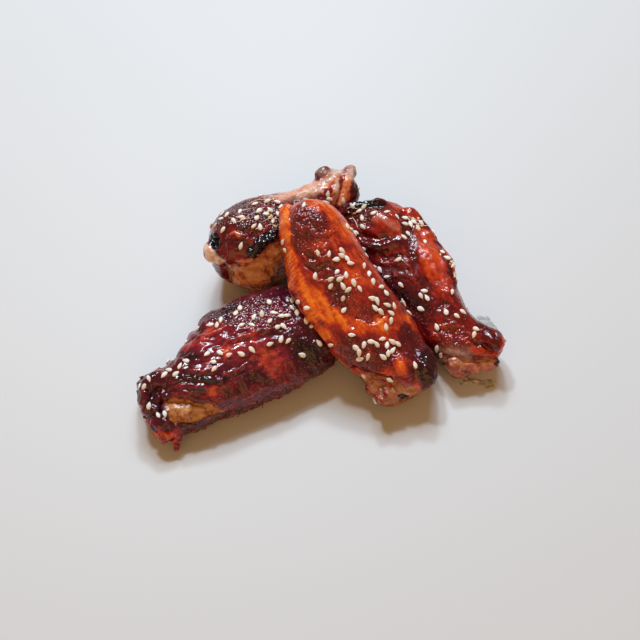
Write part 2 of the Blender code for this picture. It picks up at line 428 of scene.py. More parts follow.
class Wing:
    """The surface of a piece with everything that is painted on it."""

    def __init__(self, name):
        self.name = name
        start, end, roll = BONES[name]
        self.start = np.array(start)
        way = np.array(end) - self.start
        self.length = np.linalg.norm(way)
        self.along = way / self.length
        up = np.array((0.0, 0.0, 1.0)) - self.along * self.along[2]
        up /= np.linalg.norm(up)
        left = np.cross(up, self.along)
        roll = math.radians(roll)
        self.left = left * math.cos(roll) + up * math.sin(roll)
        self.skin = up * math.cos(roll) - left * math.sin(roll)
        self.clay = Clay(name)

    def at(self, share, left, skin):
        """A point (mm) from its share of the length, and how far left and up it is."""
        return self.start + self.along * share * self.length + self.left * left + self.skin * skin

    def under(self, u, v, deeper=0.0):
        """The point of the solid under a place on the picture, deeper below its surface."""
        way = ray_through(u, v)
        t = np.arange(DISTANCE - 75, DISTANCE + 55, 0.25)
        places = EYE + t[:, None] * way
        index = np.round(places / VOXEL).astype(int) - self.clay.low
        fits = ((index >= 0) & (index < np.array(self.clay.field.shape))).all(axis=1)
        value = np.full(len(t), 9.0)
        value[fits] = self.clay.field[tuple(index[fits].T)]
        inside = np.nonzero(value < 0)[0]
        k = inside[0] if len(inside) else value.argmin()
        return places[k] + way * deeper

    def surface(self):
        points, quads = largest_part(*self.clay.mesh())
        self.points = relaxed(points, quads, 3)
        self.quads = quads
        self.settle()

    def settle(self):
        """Works out normals, local and picture coordinates."""
        self.normals = normals_of(self.points, self.quads)
        if (self.normals * (self.points - self.points.mean(axis=0))).sum() < 0:
            self.quads = self.quads[:, ::-1]
            self.normals = -self.normals
        rel = self.points - self.start
        self.x = rel @ self.along
        self.y = rel @ self.left
        self.z = rel @ self.skin
        self.share = self.x / self.length
        self.local = np.stack([self.x, self.y, self.z], axis=1)
        self.u, self.v = on_picture(self.points)
        to_eye = EYE - self.points
        to_eye /= np.linalg.norm(to_eye, axis=1, keepdims=True)
        self.facing = (self.normals * to_eye).sum(axis=1)
        self.front = step(-0.2, 0.2, self.facing)

    def warped(self, size, amount, seed):
        """Picture coordinates pushed about, for uneven edges."""
        return (
            self.u + amount * layered(self.points, size, seed),
            self.v + amount * layered(self.points, size, seed + 50),
        )

    def push(self, height):
        self.points = self.points + self.normals * height[:, None]
        self.points[:, 2] = np.maximum(self.points[:, 2], 0.03)


def base_layers(w, seed, stretch=2.2):
    """What every piece has all round: soft lumps, drawn wrinkles, goose bumps, uneven glaze."""
    P = w.points
    drawn = w.local * np.array((1 / stretch, 1.0, 1.0))
    w.h = (
        0.75 * layered(P, 12.0, seed, 2)
        + 0.40 * layered(drawn, 4.2, seed + 3, 2)
        + 0.18 * ridged(drawn, 2.8, seed + 5)
    )
    w.glaze = 0.55 + 0.45 * layered(P, 9.0, seed + 11, 2) + 0.30 * layered(drawn, 2.8, seed + 13, 2)
    w.char = np.zeros(len(P))
    w.meat = np.zeros(len(P))
    w.frost = 0.40 + 0.45 * layered(P, 7.0, seed + 15, 2)
    w.pale = np.zeros(len(P))
    w.dull = np.full(len(P), 0.15)


def mix_to(value, target, weight):
    return value + (target - value) * weight


def fine_relief(w, seed):
    """Goose bumps, grain of the glaze, crust of the char, folds and fibres of the meat."""
    P = w.points
    near, second, number = cells(P, 1.10, seed + 21)
    bumps = np.exp(-((near / 0.42) ** 2)) * (0.4 + 0.6 * number)
    skin = (1 - w.meat) * (1 - w.char)
    w.h += (0.13 * w.frost + 0.03) * bumps * skin
    w.h += 0.10 * (w.frost * 0.8 + 0.2) * layered(P, 0.95, seed + 23, 2) * skin
    crust, second, number = cells(P, 1.7, seed + 25)
    w.h += w.char * (0.75 * (0.50 - crust) + 0.45 * layered(P, 3.0, seed + 27, 2))
    drawn = w.local * np.array((0.5, 1.0, 1.0)) + 1.2 * np.stack([layered(P, 6.0, seed + 40 + k) for k in range(3)], axis=1)
    w.h += w.meat * (
        0.75 * layered(P, 5.0, seed + 29, 2)
        + 0.42 * ridged(drawn, 3.6, seed + 33, 2)
        + 0.07 * layered(drawn * np.array((0.5, 1.0, 1.0)), 1.1, seed + 35)
    )


class Paint:
    """Gathers what is painted on the side of a piece that the main view shows."""

    def __init__(self, w, middle, spread, seed, big=6.0, small=3.0):
        self.w = w
        self.fu, self.fv = w.warped(2.2, small, seed)
        u, v = w.warped(6.0, big, seed + 2)
        self.u, self.v = u + 0.6 * (self.fu - w.u), v + 0.6 * (self.fv - w.v)
        w.glaze = mix_to(w.glaze, middle + spread * (w.glaze - 0.55), w.front)

    def cover(self, kind, *shape):
        """How much a shape covers: S line, P outline or O oval; small letters have crisp edges."""
        u, v = (self.fu, self.fv) if kind.islower() else (self.u, self.v)
        draw = {"s": stroke, "p": patch, "o": spot}[kind.lower()]
        return self.w.front * draw(u, v, *shape)

    def __call__(self, layer, value, weight, kind, *shape):
        old = getattr(self.w, layer)
        setattr(self.w, layer, mix_to(old, value, weight * self.cover(kind, *shape)))


def front_wing():
    w = Wing("wing_front")
    clay = w.clay
    # knuckle, wrist bumps and the drawn-back end
    clay.ball(w.under(402, 366, 1.6), (3.2, 3.8, 2.6), 20, soft=2.2)
    clay.ball(w.under(425, 369, 2.0), (3.6, 6.4, 4.2), 12, soft=2.2)
    clay.ball(w.under(286, 214, 2.4), (2.2, 3.6, 2.6), -10, soft=2.2)
    clay.rod([w.under(289, 208, -0.2), w.under(290, 220, -0.3), w.under(291, 232, 0.0)], (0.7, 1.0, 0.6), soft=1.2, cut=True)
    clay.ball(w.under(404, 399, -0.4), (1.8, 1.6, 1.6), 0, soft=0.8, cut=True)
    clay.ball(w.under(384, 398, 1.0), (3.0, 2.4, 2.2), 20, soft=1.4)
    clay.rod([w.under(360, 392, 0.4), w.under(380, 384, -0.3), w.under(402, 388, 0.6)], (0.9, 1.5, 0.9), soft=1.4, cut=True)
    clay.ball(w.under(374, 388, 1.0), (2.8, 2.4, 2.2), 20, soft=1.0)
    clay.ball(w.under(413, 391, 0.9), (3.4, 1.8, 1.8), 20, soft=1.0)
    clay.ball(w.under(394, 390, 0.8), (2.2, 2.0, 1.8), 0, soft=0.9)
    clay.rod([w.under(366, 378, -0.1), w.under(382, 381, -0.2), w.under(394, 386, -0.1), w.under(400, 396, 0.0)], (0.4, 0.7, 0.7, 0.5), soft=0.6, cut=True)
    clay.rod([w.under(380, 386, 0.0), w.under(383, 394, -0.2), w.under(388, 402, 0.0)], (0.4, 0.6, 0.4), soft=0.6, cut=True)
    w.surface()
    base_layers(w, 100)
    paint = Paint(w, 0.46, 0.9, 110)
    P, u, v, f = w.points, paint.u, paint.v, w.front
    for value, weight, *shape in (
        (0.72, 0.90, "P", [(290, 212), (300, 205), (314, 206), (328, 214), (330, 228), (318, 240), (300, 240), (290, 230)], 6),
        (0.10, 0.85, "S", [(308, 203), (328, 207), (344, 220), (353, 241)], 4, 6),
        (0.20, 0.75, "O", 337, 221, 9, 9, 0, 0.8),
        (0.08, 0.90, "S", [(290, 204), (284, 214), (284, 228), (287, 242)], 3, 4),
        # yellow-orange inside of the top fold, lightened further as a painted highlight
        (-0.08, 0.9, "o", 286, 216, 2.6, 8, 10, 0.8),
        (0.10, 0.85, "S", [(289, 250), (294, 272), (303, 294), (317, 313)], 5, 6),
        (0.56, 0.75, "S", [(300, 250), (307, 270), (316, 288)], 3.5, 4),
        (0.78, 0.80, "O", 323, 267, 13, 8, 10, 0.8),
        (0.92, 0.80, "O", 341, 295, 9, 14, 0, 0.8),
        (0.46, 0.60, "O", 359, 298, 11, 12, 0, 0.8),
        (0.78, 0.80, "O", 371, 315, 13, 10, 20, 0.8),
        (0.38, 0.75, "S", [(347, 241), (364, 257), (381, 277), (392, 296), (398, 316)], 3, 6),
        (0.78, 0.60, "S", [(376, 290), (388, 304)], 4, 6),
        (0.06, 0.90, "S", [(308, 292), (322, 308), (342, 321), (362, 331)], 5.5, 7),
        (0.30, 0.60, "O", 306, 303, 6, 4, 40, 0.8),
        (-0.06, 0.90, "o", 325, 335, 8, 5, 30, 0.8),
        (0.36, 0.65, "O", 352, 327, 8, 3, 20, 0.8),
        (-0.04, 0.90, "O", 380, 322, 7, 7, -20, 0.8),
        (0.52, 0.70, "S", [(390, 314), (396, 324), (394, 334)], 2, 3),
        (0.20, 0.80, "O", 405, 322, 6, 8, -20, 0.8),
        (0.86, 0.85, "S", [(403, 334), (414, 345), (420, 360)], 6, 6),
        (0.80, 0.90, "P", [(338, 338), (352, 334), (376, 338), (394, 346), (394, 368), (380, 374), (356, 368), (340, 354)], 6),
        (0.10, 0.85, "s", [(321, 347), (338, 362), (354, 374), (362, 386)], 1.6, 3),
        (0.90, 0.80, "S", [(404, 330), (412, 344), (414, 358)], 6, 5),
        (0.17, 0.95, "o", 401, 366, 6.5, 9, -15, 0.7),
        (0.86, 0.85, "O", 414, 372, 6, 6, 0, 0.8),
        (1.00, 0.95, "p", [(415, 344), (428, 346), (440, 364), (438, 386), (424, 392), (415, 370)], 3),
    ):
        paint("glaze", value, weight, *shape)
    w.glaze = mix_to(w.glaze, 0.95, step(0.78, 0.90, w.share) * (1 - f) * 0.85)
    paint("char", 0.58, 1.0, "p", [(418, 350), (428, 348), (437, 362), (436, 380), (424, 390), (416, 374)], 3)
    paint("meat", 1.0, 1.0, "p", [(358, 376), (372, 374), (386, 377), (398, 380), (412, 386), (428, 392), (428, 404), (404, 409), (384, 412), (366, 404), (356, 388)], 1.6)
    w.meat = np.maximum(w.meat, step(0.93, 0.99, w.share) * (1 - f))
    for line, wide in (([(363, 386), (370, 396), (382, 402)], 1.4), ([(372, 379), (384, 382), (394, 388)], 0.6), ([(383, 388), (386, 398)], 0.6)):
        paint("meat", 0.1, 0.9, "s", line, wide, 2)
        paint("glaze", 0.62, 0.9, "s", line, wide, 2)
    paint("char", 0.95, 1.0, "s", [(399, 397), (404, 396), (408, 398)], 1.3, 1.6)
    paint("pale", 1.0, 1.0, "o", 407, 391, 13, 5, 5)
    paint("pale", 0.5, 1.0, "o", 372, 382, 8, 5, 30)
    paint("frost", 0.95, 0.9, "P", [(290, 206), (316, 205), (336, 240), (324, 254), (300, 252), (288, 236)], 6)
    paint("frost", 0.90, 0.9, "O", 343, 298, 15, 17, 0, 0.8)
    paint("frost", 0.90, 0.9, "O", 371, 315, 14, 11, 20, 0.8)
    paint("frost", 0.95, 0.9, "O", 368, 354, 28, 15, 20, 0.8)
    paint("frost", 0.15, 0.8, "S", [(305, 290), (324, 316), (346, 326), (366, 333)], 5, 6)
    paint("frost", 0.15, 0.8, "S", [(344, 224), (358, 250), (384, 282)], 5, 6)
    paint("frost", 0.05, 0.9, "P", [(417, 346), (428, 349), (436, 364), (433, 380), (424, 380), (417, 366)], 4)
    paint("dull", 0.40, 0.8, "S", [(289, 250), (294, 272), (303, 294), (317, 313), (330, 330)], 7, 7)
    # feather rows: fine ridges across the piece, strongest on its left flank
    rows = np.sin(2 * math.pi * (w.x + 0.18 * w.y + 1.1 * layered(P, 5.0, 140, 2)) / 1.28)
    flank = np.maximum(
        f * stroke(u, v, [(288, 244), (293, 270), (302, 298), (318, 322)], 6, 8),
        (1 - f) * 0.7,
    ) * step(-0.5, 0.5, layered(P, 3.0, 142, 2))
    w.h += 0.075 * rows * flank * (1 - w.meat)
    # two bones under the skin, hollow between them, folds by the elbow
    w.h += f * (
        -0.9 * stroke(u, v, [(312, 258), (330, 290), (352, 322)], 3, 8)
        + 0.5 * stroke(u, v, [(306, 300), (326, 330), (344, 346)], 3, 7)
        + 0.40 * stroke(u, v, [(296, 226), (318, 236), (334, 232)], 0.8, 3)
        + 0.40 * stroke(u, v, [(304, 256), (312, 262), (326, 258), (334, 263)], 0.6, 2.4)
        - 0.45 * stroke(u, v, [(306, 264), (316, 269), (328, 266), (338, 272)], 0.8, 2.8)
        + 0.35 * stroke(u, v, [(316, 279), (330, 283), (344, 277)], 0.6, 2.4)
        - 0.35 * stroke(u, v, [(356, 318), (370, 322), (384, 314)], 0.6, 3.0)
        - 0.8 * stroke(u, v, [(352, 366), (366, 369), (380, 374), (394, 379)], 0.8, 2.2)
        + 0.8 * spot(u, v, 426, 366, 10, 20) * ridged(w.local * np.array((0.4, 1.0, 1.0)), 3.4, 160, 2)
    )
    w.h -= 0.9 * w.meat
    fine_relief(w, 150)
    return w


def right_wing():
    w = Wing("wing_right")
    clay = w.clay
    clay.rod([w.under(376, 216, 0.8), w.under(387, 222, 1.0), w.under(399, 230, 1.2)], (0.9, 1.3, 1.0), soft=2.6)
    clay.ball(w.under(370, 208, 1.8), (6.0, 2.4, 2.4), 0, soft=2.0)
    clay.ball(w.under(354, 208, 1.4), (2.4, 2.2, 2.4), 0, soft=1.4)
    clay.ball(w.under(350, 213, 1.8) + (-1.6, 0.0, 0.0), (3.4, 2.8, 3.0), 0, soft=2.0)
    clay.rod([w.under(404, 216, 2.6) + (2.2, 0.5, 0.2), w.under(414, 228, 2.6) + (2.2, 0.2, 0.0), w.under(428, 242, 2.4) + (1.4, 0.2, -0.2), w.under(438, 262, 2.4) + (2.6, 0.0, -0.4), w.under(444, 282, 2.4) + (2.2, 0.0, -0.4)], (2.2, 2.4, 1.9, 2.6, 1.8), soft=3.0)
    clay.ball(w.under(379, 204, 1.0), (2.6, 1.8, 2.0), 0, soft=1.0)
    clay.rod([w.under(360, 242, 0.0), w.under(371, 247, -0.1), w.under(382, 248, 0.0), w.under(394, 243, 0.2), w.under(408, 242, 0.6)], (0.9, 1.3, 1.3, 1.1, 0.6), soft=1.6)
    clay.rod([w.under(364, 236, -0.2), w.under(378, 239, -0.3), w.under(392, 236, -0.1)], (0.6, 0.8, 0.5), soft=1.6, cut=True)
    clay.ball(w.under(494, 343, 1.4), (3.4, 3.0, 2.6), 0, soft=1.4)
    clay.rod([w.under(484, 346, 0.3), w.under(490, 352, 0.2), w.under(500, 352, 0.4)], (0.5, 0.8, 0.6), soft=1.0, cut=True)
    clay.rod([w.under(440, 352, 0.8), w.under(462, 354, 0.8), w.under(482, 352, 0.8)], (0.8, 1.0, 0.8), soft=1.2)
    clay.rod([w.under(446, 358, -0.2), w.under(468, 360, -0.3), w.under(492, 358, 0.0)], (0.8, 1.1, 0.9), soft=1.0, cut=True)
    clay.ball(w.under(456, 365, 1.2), (3.0, 2.4, 2.2), 0, soft=1.2)
    clay.ball(w.under(472, 368, 1.0), (2.2, 2.0, 1.8), 0, soft=0.9)
    clay.ball(w.under(487, 364, 1.2), (3.2, 2.6, 2.4), 0, soft=1.2)
    clay.ball(w.under(497, 364, 0.4), (1.1, 1.6, 1.8), 0, soft=0.6)
    w.surface()
    base_layers(w, 200)
    paint = Paint(w, 0.76, 0.8, 210)
    P, u, v, f = w.points, paint.u, paint.v, w.front
    for value, weight, *shape in (
        (0.92, 0.9, "P", [(345, 205), (362, 202), (380, 206), (376, 220), (366, 234), (352, 232), (342, 220)], 4),
        (0.40, 0.8, "O", 357, 225, 6, 5, 0, 0.8),
        (0.50, 0.8, "O", 371, 230, 9, 8, 0, 0.8),
        (0.20, 0.85, "S", [(376, 217), (386, 223), (399, 233)], 5, 5),
        (0.30, 0.70, "S", [(386, 214), (398, 220)], 3, 5),
        (0.52, 0.70, "S", [(376, 228), (386, 234)], 3, 4),
        (0.26, 0.8, "S", [(392, 206), (408, 210), (418, 220)], 4, 5),
        (0.14, 0.95, "P", [(414, 222), (424, 228), (436, 242), (443, 262), (444, 282), (430, 282), (422, 266), (418, 246)], 5),
        (0.02, 0.8, "o", 432, 262, 8, 13, 20, 0.8),
        (0.22, 0.8, "s", [(444, 246), (456, 266), (462, 288)], 2.5, 3),
        (0.40, 0.7, "O", 441, 272, 3, 7, 20, 0.8),
        (0.24, 0.85, "O", 445, 290, 12, 10, 30, 0.8),
        (0.62, 0.8, "O", 452, 304, 13, 12, 0, 0.8),
        (0.58, 0.7, "O", 396, 250, 10, 7, 0, 0.8),
        (0.70, 0.8, "P", [(384, 252), (404, 250), (416, 256), (424, 278), (416, 290), (398, 284), (386, 270)], 6),
        # painted shade: the crevice under the front piece's edge, painted near black as the darkest glaze
        (1.05, 0.95, "P", [(382, 272), (404, 284), (424, 298), (430, 316), (414, 318), (398, 304), (384, 288)], 7),
        (0.56, 0.8, "P", [(428, 312), (446, 312), (470, 318), (482, 334), (474, 350), (446, 350), (432, 336)], 6),
        (0.62, 0.7, "O", 447, 318, 9, 8, 0, 0.8),
        (0.20, 0.9, "s", [(470, 349), (484, 352), (496, 354)], 3, 3),
        (0.08, 0.9, "s", [(500, 344), (503, 350), (500, 357)], 2.2, 2),
        (0.80, 0.95, "o", 492, 342, 8, 8, 0, 0.5),
        (0.06, 0.95, "s", [(504, 336), (506, 346), (501, 356)], 2.6, 2),
        (0.40, 0.8, "s", [(438, 356), (450, 359), (462, 358)], 1.6, 2),
    ):
        paint("glaze", value, weight, *shape)
    for value, *shape in (
        (0.85, "s", [(350, 205), (362, 203), (384, 204)], 3.0, 3),
        (0.45, "o", 348, 214, 5, 8, 0, 0.6),
        (0.30, "o", 492, 341, 6.5, 6.0, 0, 0.5),
        (0.85, "o", 498, 364, 3, 4.5, 0, 0.5),
        (0.42, "s", [(434, 236), (444, 250), (454, 268)], 0.5, 1.4),
        # painted shade: the same crevice, darkened further through the char layer
        (0.55, "P", [(384, 276), (410, 290), (428, 306), (426, 318), (404, 308), (388, 292)], 6),
        (0.60, "s", [(462, 372), (474, 375), (486, 372)], 0.8, 1.6),
    ):
        paint("char", value, 1.0, *shape)
    rim = (1 - f) * patch(w.u, w.v, [(414, 216), (440, 232), (466, 268), (474, 304), (448, 300), (430, 250)], 5)
    w.glaze = mix_to(w.glaze, 0.12, 0.9 * rim)
    paint("meat", 1.0, 1.0, "p", [(446, 362), (462, 360), (484, 360), (498, 359), (504, 366), (494, 380), (466, 382), (448, 376), (441, 369)], 1.6)
    # painted highlights: a pale streak along the top of the bare meat and a pale pink streak on the lump at the top
    paint("pale", 0.45, 1.0, "s", [(440, 361), (454, 357), (470, 358)], 1.5, 3)
    paint("pale", 0.26, 1.0, "S", [(374, 216), (386, 222), (396, 228)], 1.5, 4)
    # pale pink lobe above the meat, partly a painted highlight
    paint("pale", 0.38, 1.0, "O", 454, 351, 16, 5, 5, 0.8)
    w.meat = np.maximum(w.meat, step(0.94, 0.99, w.share) * (1 - f))
    # pale salmon band on the bare meat, partly a painted highlight
    paint("pale", 0.7, 1.0, "o", 458, 364, 8, 4, 5)
    paint("pale", 0.7, 1.0, "o", 488, 362, 7, 4, 0)
    paint("frost", 0.34, 0.9, "P", [(372, 248), (404, 246), (424, 262), (428, 288), (404, 286), (384, 270)], 5)
    paint("frost", 0.95, 0.9, "O", 452, 338, 28, 14, 10, 0.8)
    paint("frost", 0.90, 0.8, "P", [(345, 206), (380, 206), (378, 224), (350, 232)], 5)
    paint("frost", 0.05, 0.9, "o", 493, 343, 9, 8, 0, 0.6)
    paint("frost", 0.0, 0.95, "P", [(414, 222), (424, 228), (436, 242), (443, 262), (444, 282), (430, 282), (422, 266), (418, 246)], 5)
    paint("dull", 0.75, 0.9, "P", [(384, 252), (404, 250), (416, 256), (424, 278), (416, 290), (398, 284), (386, 270)], 6)
    paint("dull", 0.90, 0.9, "P", [(406, 210), (424, 224), (440, 242), (448, 266), (450, 290), (430, 290), (420, 266), (414, 240)], 6)
    w.h += f * (
        -0.9 * stroke(u, v, [(402, 216), (412, 246), (424, 280), (440, 304)], 2, 7)
        + 0.6 * stroke(u, v, [(426, 236), (438, 262), (448, 290)], 4, 6)
        + 0.5 * stroke(u, v, [(384, 262), (398, 262), (410, 268)], 1, 4)
        - 0.5 * stroke(u, v, [(380, 255), (396, 258), (414, 254)], 0.8, 3)
        + 0.4 * stroke(u, v, [(392, 274), (406, 276), (416, 282)], 1, 3)
        + 0.5 * stroke(u, v, [(434, 336), (452, 341), (472, 344)], 3, 5)
        + 0.4 * stroke(u, v, [(440, 326), (454, 324), (464, 328)], 1, 3)
        - 0.5 * stroke(u, v, [(468, 340), (480, 346), (492, 350)], 1, 3)
    )
    w.h -= 0.7 * w.meat
    fine_relief(w, 250)
    return w


def left_wing():
    w = Wing("wing_left")
    clay = w.clay
    clay.ball(w.under(157, 379, 1.0), (3.6, 2.6, 2.4), 20, soft=1.0)
    clay.ball(w.under(158, 376, -1.2), (2.4, 1.4, 1.2), 20, soft=0.8, cut=True)
    clay.ball(w.under(146, 398, 1.2), (2.2, 4.2, 3.0), 10, soft=0.8)
    clay.ball(w.under(148, 384, 1.0), (1.8, 2.4, 2.0), -20, soft=0.8)
    clay.ball(w.under(153, 410, 1.0), (2.8, 2.4, 2.4), 0, soft=0.8)
    clay.ball(w.under(163, 422, 1.0), (3.2, 2.8, 2.4), 30, soft=1.0)
    clay.ball(w.under(157, 391, -0.8), (3.0, 1.6, 1.8), 30, soft=0.8, cut=True)
    clay.ball(w.under(149, 404, -1.0), (1.4, 1.8, 1.6), 30, soft=0.7, cut=True)
    clay.ball(w.under(162, 408, -0.6), (1.2, 3.6, 1.6), 10, soft=0.8, cut=True)
    drip = w.under(178, 428, 1.2)
    clay.rod([drip + (-0.8, 0.6, 0), drip + (-0.4, -1.8, -1.4), drip + (-0.2, -3.6, -2.6), drip + (-0.4, -5.4, -3.4)], (1.9, 1.3, 0.75, 0.36), soft=1.0)
    flap = w.under(166, 428, 0.8)
    clay.rod([flap + (-2.8, 0.2, 0), flap + (-0.4, -1.8, -1.2), flap + (2.4, -1.4, -0.8)], (0.7, 1.2, 0.8), soft=0.8)
    clay.ball(w.under(178, 409, 1.6), (4.6, 3.4, 2.8), 10, soft=1.2)
    clay.ball(w.under(190, 412, 1.4), (3.0, 2.2, 2.2), 20, soft=1.0)
    clay.ball(w.under(206, 411, 1.4), (5.0, 2.2, 2.0), 20, soft=1.4)
    clay.rod([w.under(166, 397, 0.2), w.under(184, 396, 0.2), w.under(204, 402, 0.3), w.under(218, 408, 0.5)], (0.7, 0.9, 0.8, 0.5), soft=1.0)
    clay.rod([w.under(168, 401, 0.0), w.under(184, 400, -0.1), w.under(204, 406, 0.0)], (0.6, 0.8, 0.6), soft=0.8, cut=True)
    clay.ball(w.under(196, 408, -0.5), (1.0, 1.4, 1.0), 0, soft=0.8, cut=True)
    clay.ball(w.under(186, 414, 0.6), (1.8, 1.4, 1.4), 30, soft=0.8)
    # the hollow of the upper left outline, cut along the line of sight
    base = w.under(186, 368, 3.0)
    for a, b, size in ((164, 364, 1.7), (170, 356, 2.2), (176, 344, 2.2), (190, 330, 2.0)):
        place = base + np.array((0.34 * (a - 186), -0.278 * (b - 368), -0.195 * (b - 368)))
        sight = np.array((0.0, 0.574, -0.819)) * 12.0
        clay.rod([place - sight, place, place + sight], (size, size, size), soft=1.6, cut=True)
    w.surface()
    base_layers(w, 300, 3.0)
    paint = Paint(w, 0.84, 0.6, 310)
    P, u, v, f = w.points, paint.u, paint.v, w.front
    for value, weight, *shape in (
        (0.42, 0.85, "P", [(199, 334), (214, 322), (232, 330), (262, 332), (274, 338), (262, 350), (232, 356), (206, 352)], 6),
        (0.24, 0.85, "S", [(204, 338), (210, 326), (222, 322)], 2.5, 4),
        (0.38, 0.80, "O", 189, 345, 10, 7, -20, 0.8),
        (0.66, 0.70, "S", [(204, 346), (222, 340), (246, 336)], 4, 6),
        (0.12, 0.90, "o", 225, 352, 5, 6, -20, 0.8),
        (0.56, 0.70, "O", 208, 362, 13, 6, -20, 0.8),
        (0.62, 0.70, "S", [(236, 352), (252, 346), (268, 342)], 3, 5),
        (0.08, 0.90, "P", [(263, 350), (278, 348), (288, 358), (284, 374), (268, 378), (260, 366)], 6),
        (0.56, 0.70, "O", 284, 366, 14, 14, 0, 0.8),
        (0.12, 0.95, "O", 212, 393, 10, 5, -10, 0.8),
        (0.55, 0.75, "O", 232, 382, 14, 5, -20, 0.8),
        (0.56, 0.75, "P", [(205, 400), (240, 392), (280, 378), (306, 368), (316, 372), (280, 394), (240, 410), (205, 422)], 6),
        (1.05, 0.95, "P", [(290, 330), (322, 340), (328, 366), (308, 374), (296, 362), (290, 346)], 6),
        (1.00, 0.85, "S", [(176, 380), (198, 377), (222, 380)], 3.5, 5),
        (0.78, 0.80, "S", [(222, 374), (240, 368), (256, 358)], 2.5, 4),
        (0.95, 0.70, "S", [(184, 356), (200, 360)], 4, 4),
        (1.00, 0.75, "S", [(206, 320), (226, 312), (244, 304)], 3.5, 4),
        (0.66, 0.70, "P", [(236, 308), (252, 298), (288, 304), (288, 326), (256, 330), (238, 326)], 6),
        (0.70, 0.80, "O", 178, 388, 12, 6, 10, 0.8),
        (0.30, 0.95, "s", [(159, 431), (166, 435), (173, 435)], 3, 2),
        (0.06, 0.90, "s", [(165, 434), (171, 435)], 1.6, 2),
        (0.36, 0.95, "s", [(177, 430), (178, 440), (177, 450)], 4, 3),
        (0.97, 0.9, "p", [(136, 380), (150, 372), (165, 370), (170, 396), (172, 426), (150, 428), (138, 408)], 3),
        (0.62, 0.9, "s", [(152, 372), (160, 371), (166, 374)], 1.2, 1.6),
        (0.48, 0.8, "s", [(137, 392), (140, 404), (147, 412)], 1.4, 1.8),
        (0.52, 0.8, "s", [(150, 418), (156, 426), (164, 429)], 1.6, 2),
    ):
        paint("glaze", value, weight, *shape)
    for value, *shape in (
        (0.45, "p", [(142, 390), (152, 384), (160, 400), (168, 420), (160, 424), (148, 410)], 3),
        (0.60, "o", 231, 310, 13, 3.5, -20, 0.6),
        (0.56, "o", 191, 357, 10, 4.5, 0, 0.6),
        (0.56, "s", [(170, 380), (186, 378), (204, 380), (220, 381)], 2.4, 3),
        (0.46, "s", [(176, 389), (192, 388), (208, 390)], 1.4, 2),
        (0.22, "s", [(224, 376), (240, 370), (254, 360)], 1.4, 2.4),
        (0.40, "s", [(212, 352), (230, 345), (246, 340)], 0.8, 2),
        (0.40, "s", [(194, 405), (199, 410), (196, 416)], 0.6, 1.4),
        # painted shade: a dark band along the lower edge of the bare meat
        (0.45, "s", [(172, 422), (186, 424), (204, 418), (222, 413)], 1.0, 1.6),
        (0.60, "P", [(294, 334), (318, 344), (324, 362), (304, 368), (294, 354)], 6),
    ):
        paint("char", value, 1.0, *shape)
    paint("meat", 1.0, 1.0, "p", [(164, 403), (170, 397), (178, 399), (188, 399), (196, 403), (208, 404), (218, 409), (228, 411), (214, 415), (203, 416), (197, 421), (184, 422), (175, 425), (168, 420), (169, 411)], 1.6)
    w.meat = np.maximum(w.meat, (1 - f) * step(0.03, 0.0, w.share))
    paint("pale", 0.9, 1.0, "o", 178, 408, 10, 8, 10)
    paint("pale", 0.4, 1.0, "o", 204, 410, 10, 5, 10)
    paint("frost", 0.95, 0.9, "P", [(206, 312), (250, 296), (290, 302), (290, 330), (240, 330), (205, 328)], 6)
    paint("frost", 0.62, 0.9, "P", [(216, 396), (240, 384), (262, 376), (300, 364), (320, 366), (300, 386), (240, 412), (205, 420)], 6)
    paint("frost", 0.80, 0.9, "P", [(290, 330), (322, 340), (328, 366), (308, 374), (290, 352)], 6)
    paint("frost", 0.10, 0.9, "p", [(136, 380), (150, 370), (166, 370), (172, 398), (174, 430), (150, 430), (136, 408)], 3)
    paint("frost", 0.05, 0.9, "P", [(168, 374), (186, 346), (214, 326), (240, 334), (272, 334), (262, 356), (226, 378), (176, 394)], 6)
    # drawn, broken folds along the piece where the glaze is thick
    drawn = w.local * np.array((0.30, 1.0, 1.0)) + 0.9 * np.stack([layered(P, 5.0, 371 + k, 2) for k in range(3)], axis=1)
    thick = f * patch(u, v, [(170, 372), (188, 344), (212, 322), (240, 322), (284, 326), (276, 346), (258, 360), (228, 384), (200, 394), (172, 396)], 8)
    wrinkles = 0.75 * ridged(drawn, 3.0, 375, 2) + 0.6 * ridged(drawn, 6.5, 376, 1)
    w.h += (0.40 * thick + 0.10) * wrinkles * (1 - w.meat)
    w.h += 0.75 * (ridged(P, 7.5, 395, 2) - 0.3) * (1 - w.meat)
    w.glaze -= 0.16 * thick * wrinkles
    broken = 0.55 + 0.75 * layered(P, 3.5, 380, 2)
    for line, height in (
        ([(216, 349), (232, 341), (254, 334), (276, 329)], 0.60),
        ([(222, 376), (238, 371), (256, 358)], 1.20),
        ([(170, 382), (186, 379), (204, 379), (222, 380)], 1.15),
        ([(176, 388), (190, 386), (206, 387)], 0.70),
        ([(228, 382), (244, 376), (260, 366)], 0.55),
        ([(186, 372), (204, 371), (222, 365)], 0.55),
        ([(210, 336), (222, 332)], 0.40),
    ):
        w.h += f * height * broken * stroke(paint.fu, paint.fv, line, 0.6, 3.0)
    w.h += 0.40 * w.meat * f * (ridged(P * np.array((0.5, 1.0, 1.0)), 2.4, 398, 2) - 0.3)
    # the torn, crumpled tip
    torn = step(0.13, 0.03, w.share) * (1 - w.meat)
    w.h += torn * (1.1 * ridged(P, 4.0, 385, 2) + 0.40 * layered(P, 2.2, 386))
    # the frayed lower edge
    low = step(9.0, 3.0, P[:, 2]) * (1 - w.meat)
    w.h += low * (0.9 * layered(P * np.array((1.0, 1.0, 0.5)), 3.4, 390, 2) + 0.7 * ridged(P * np.array((1.0, 1.0, 0.4)), 2.2, 392, 2))
    w.h -= 0.8 * w.meat
    fine_relief(w, 350)
    return w


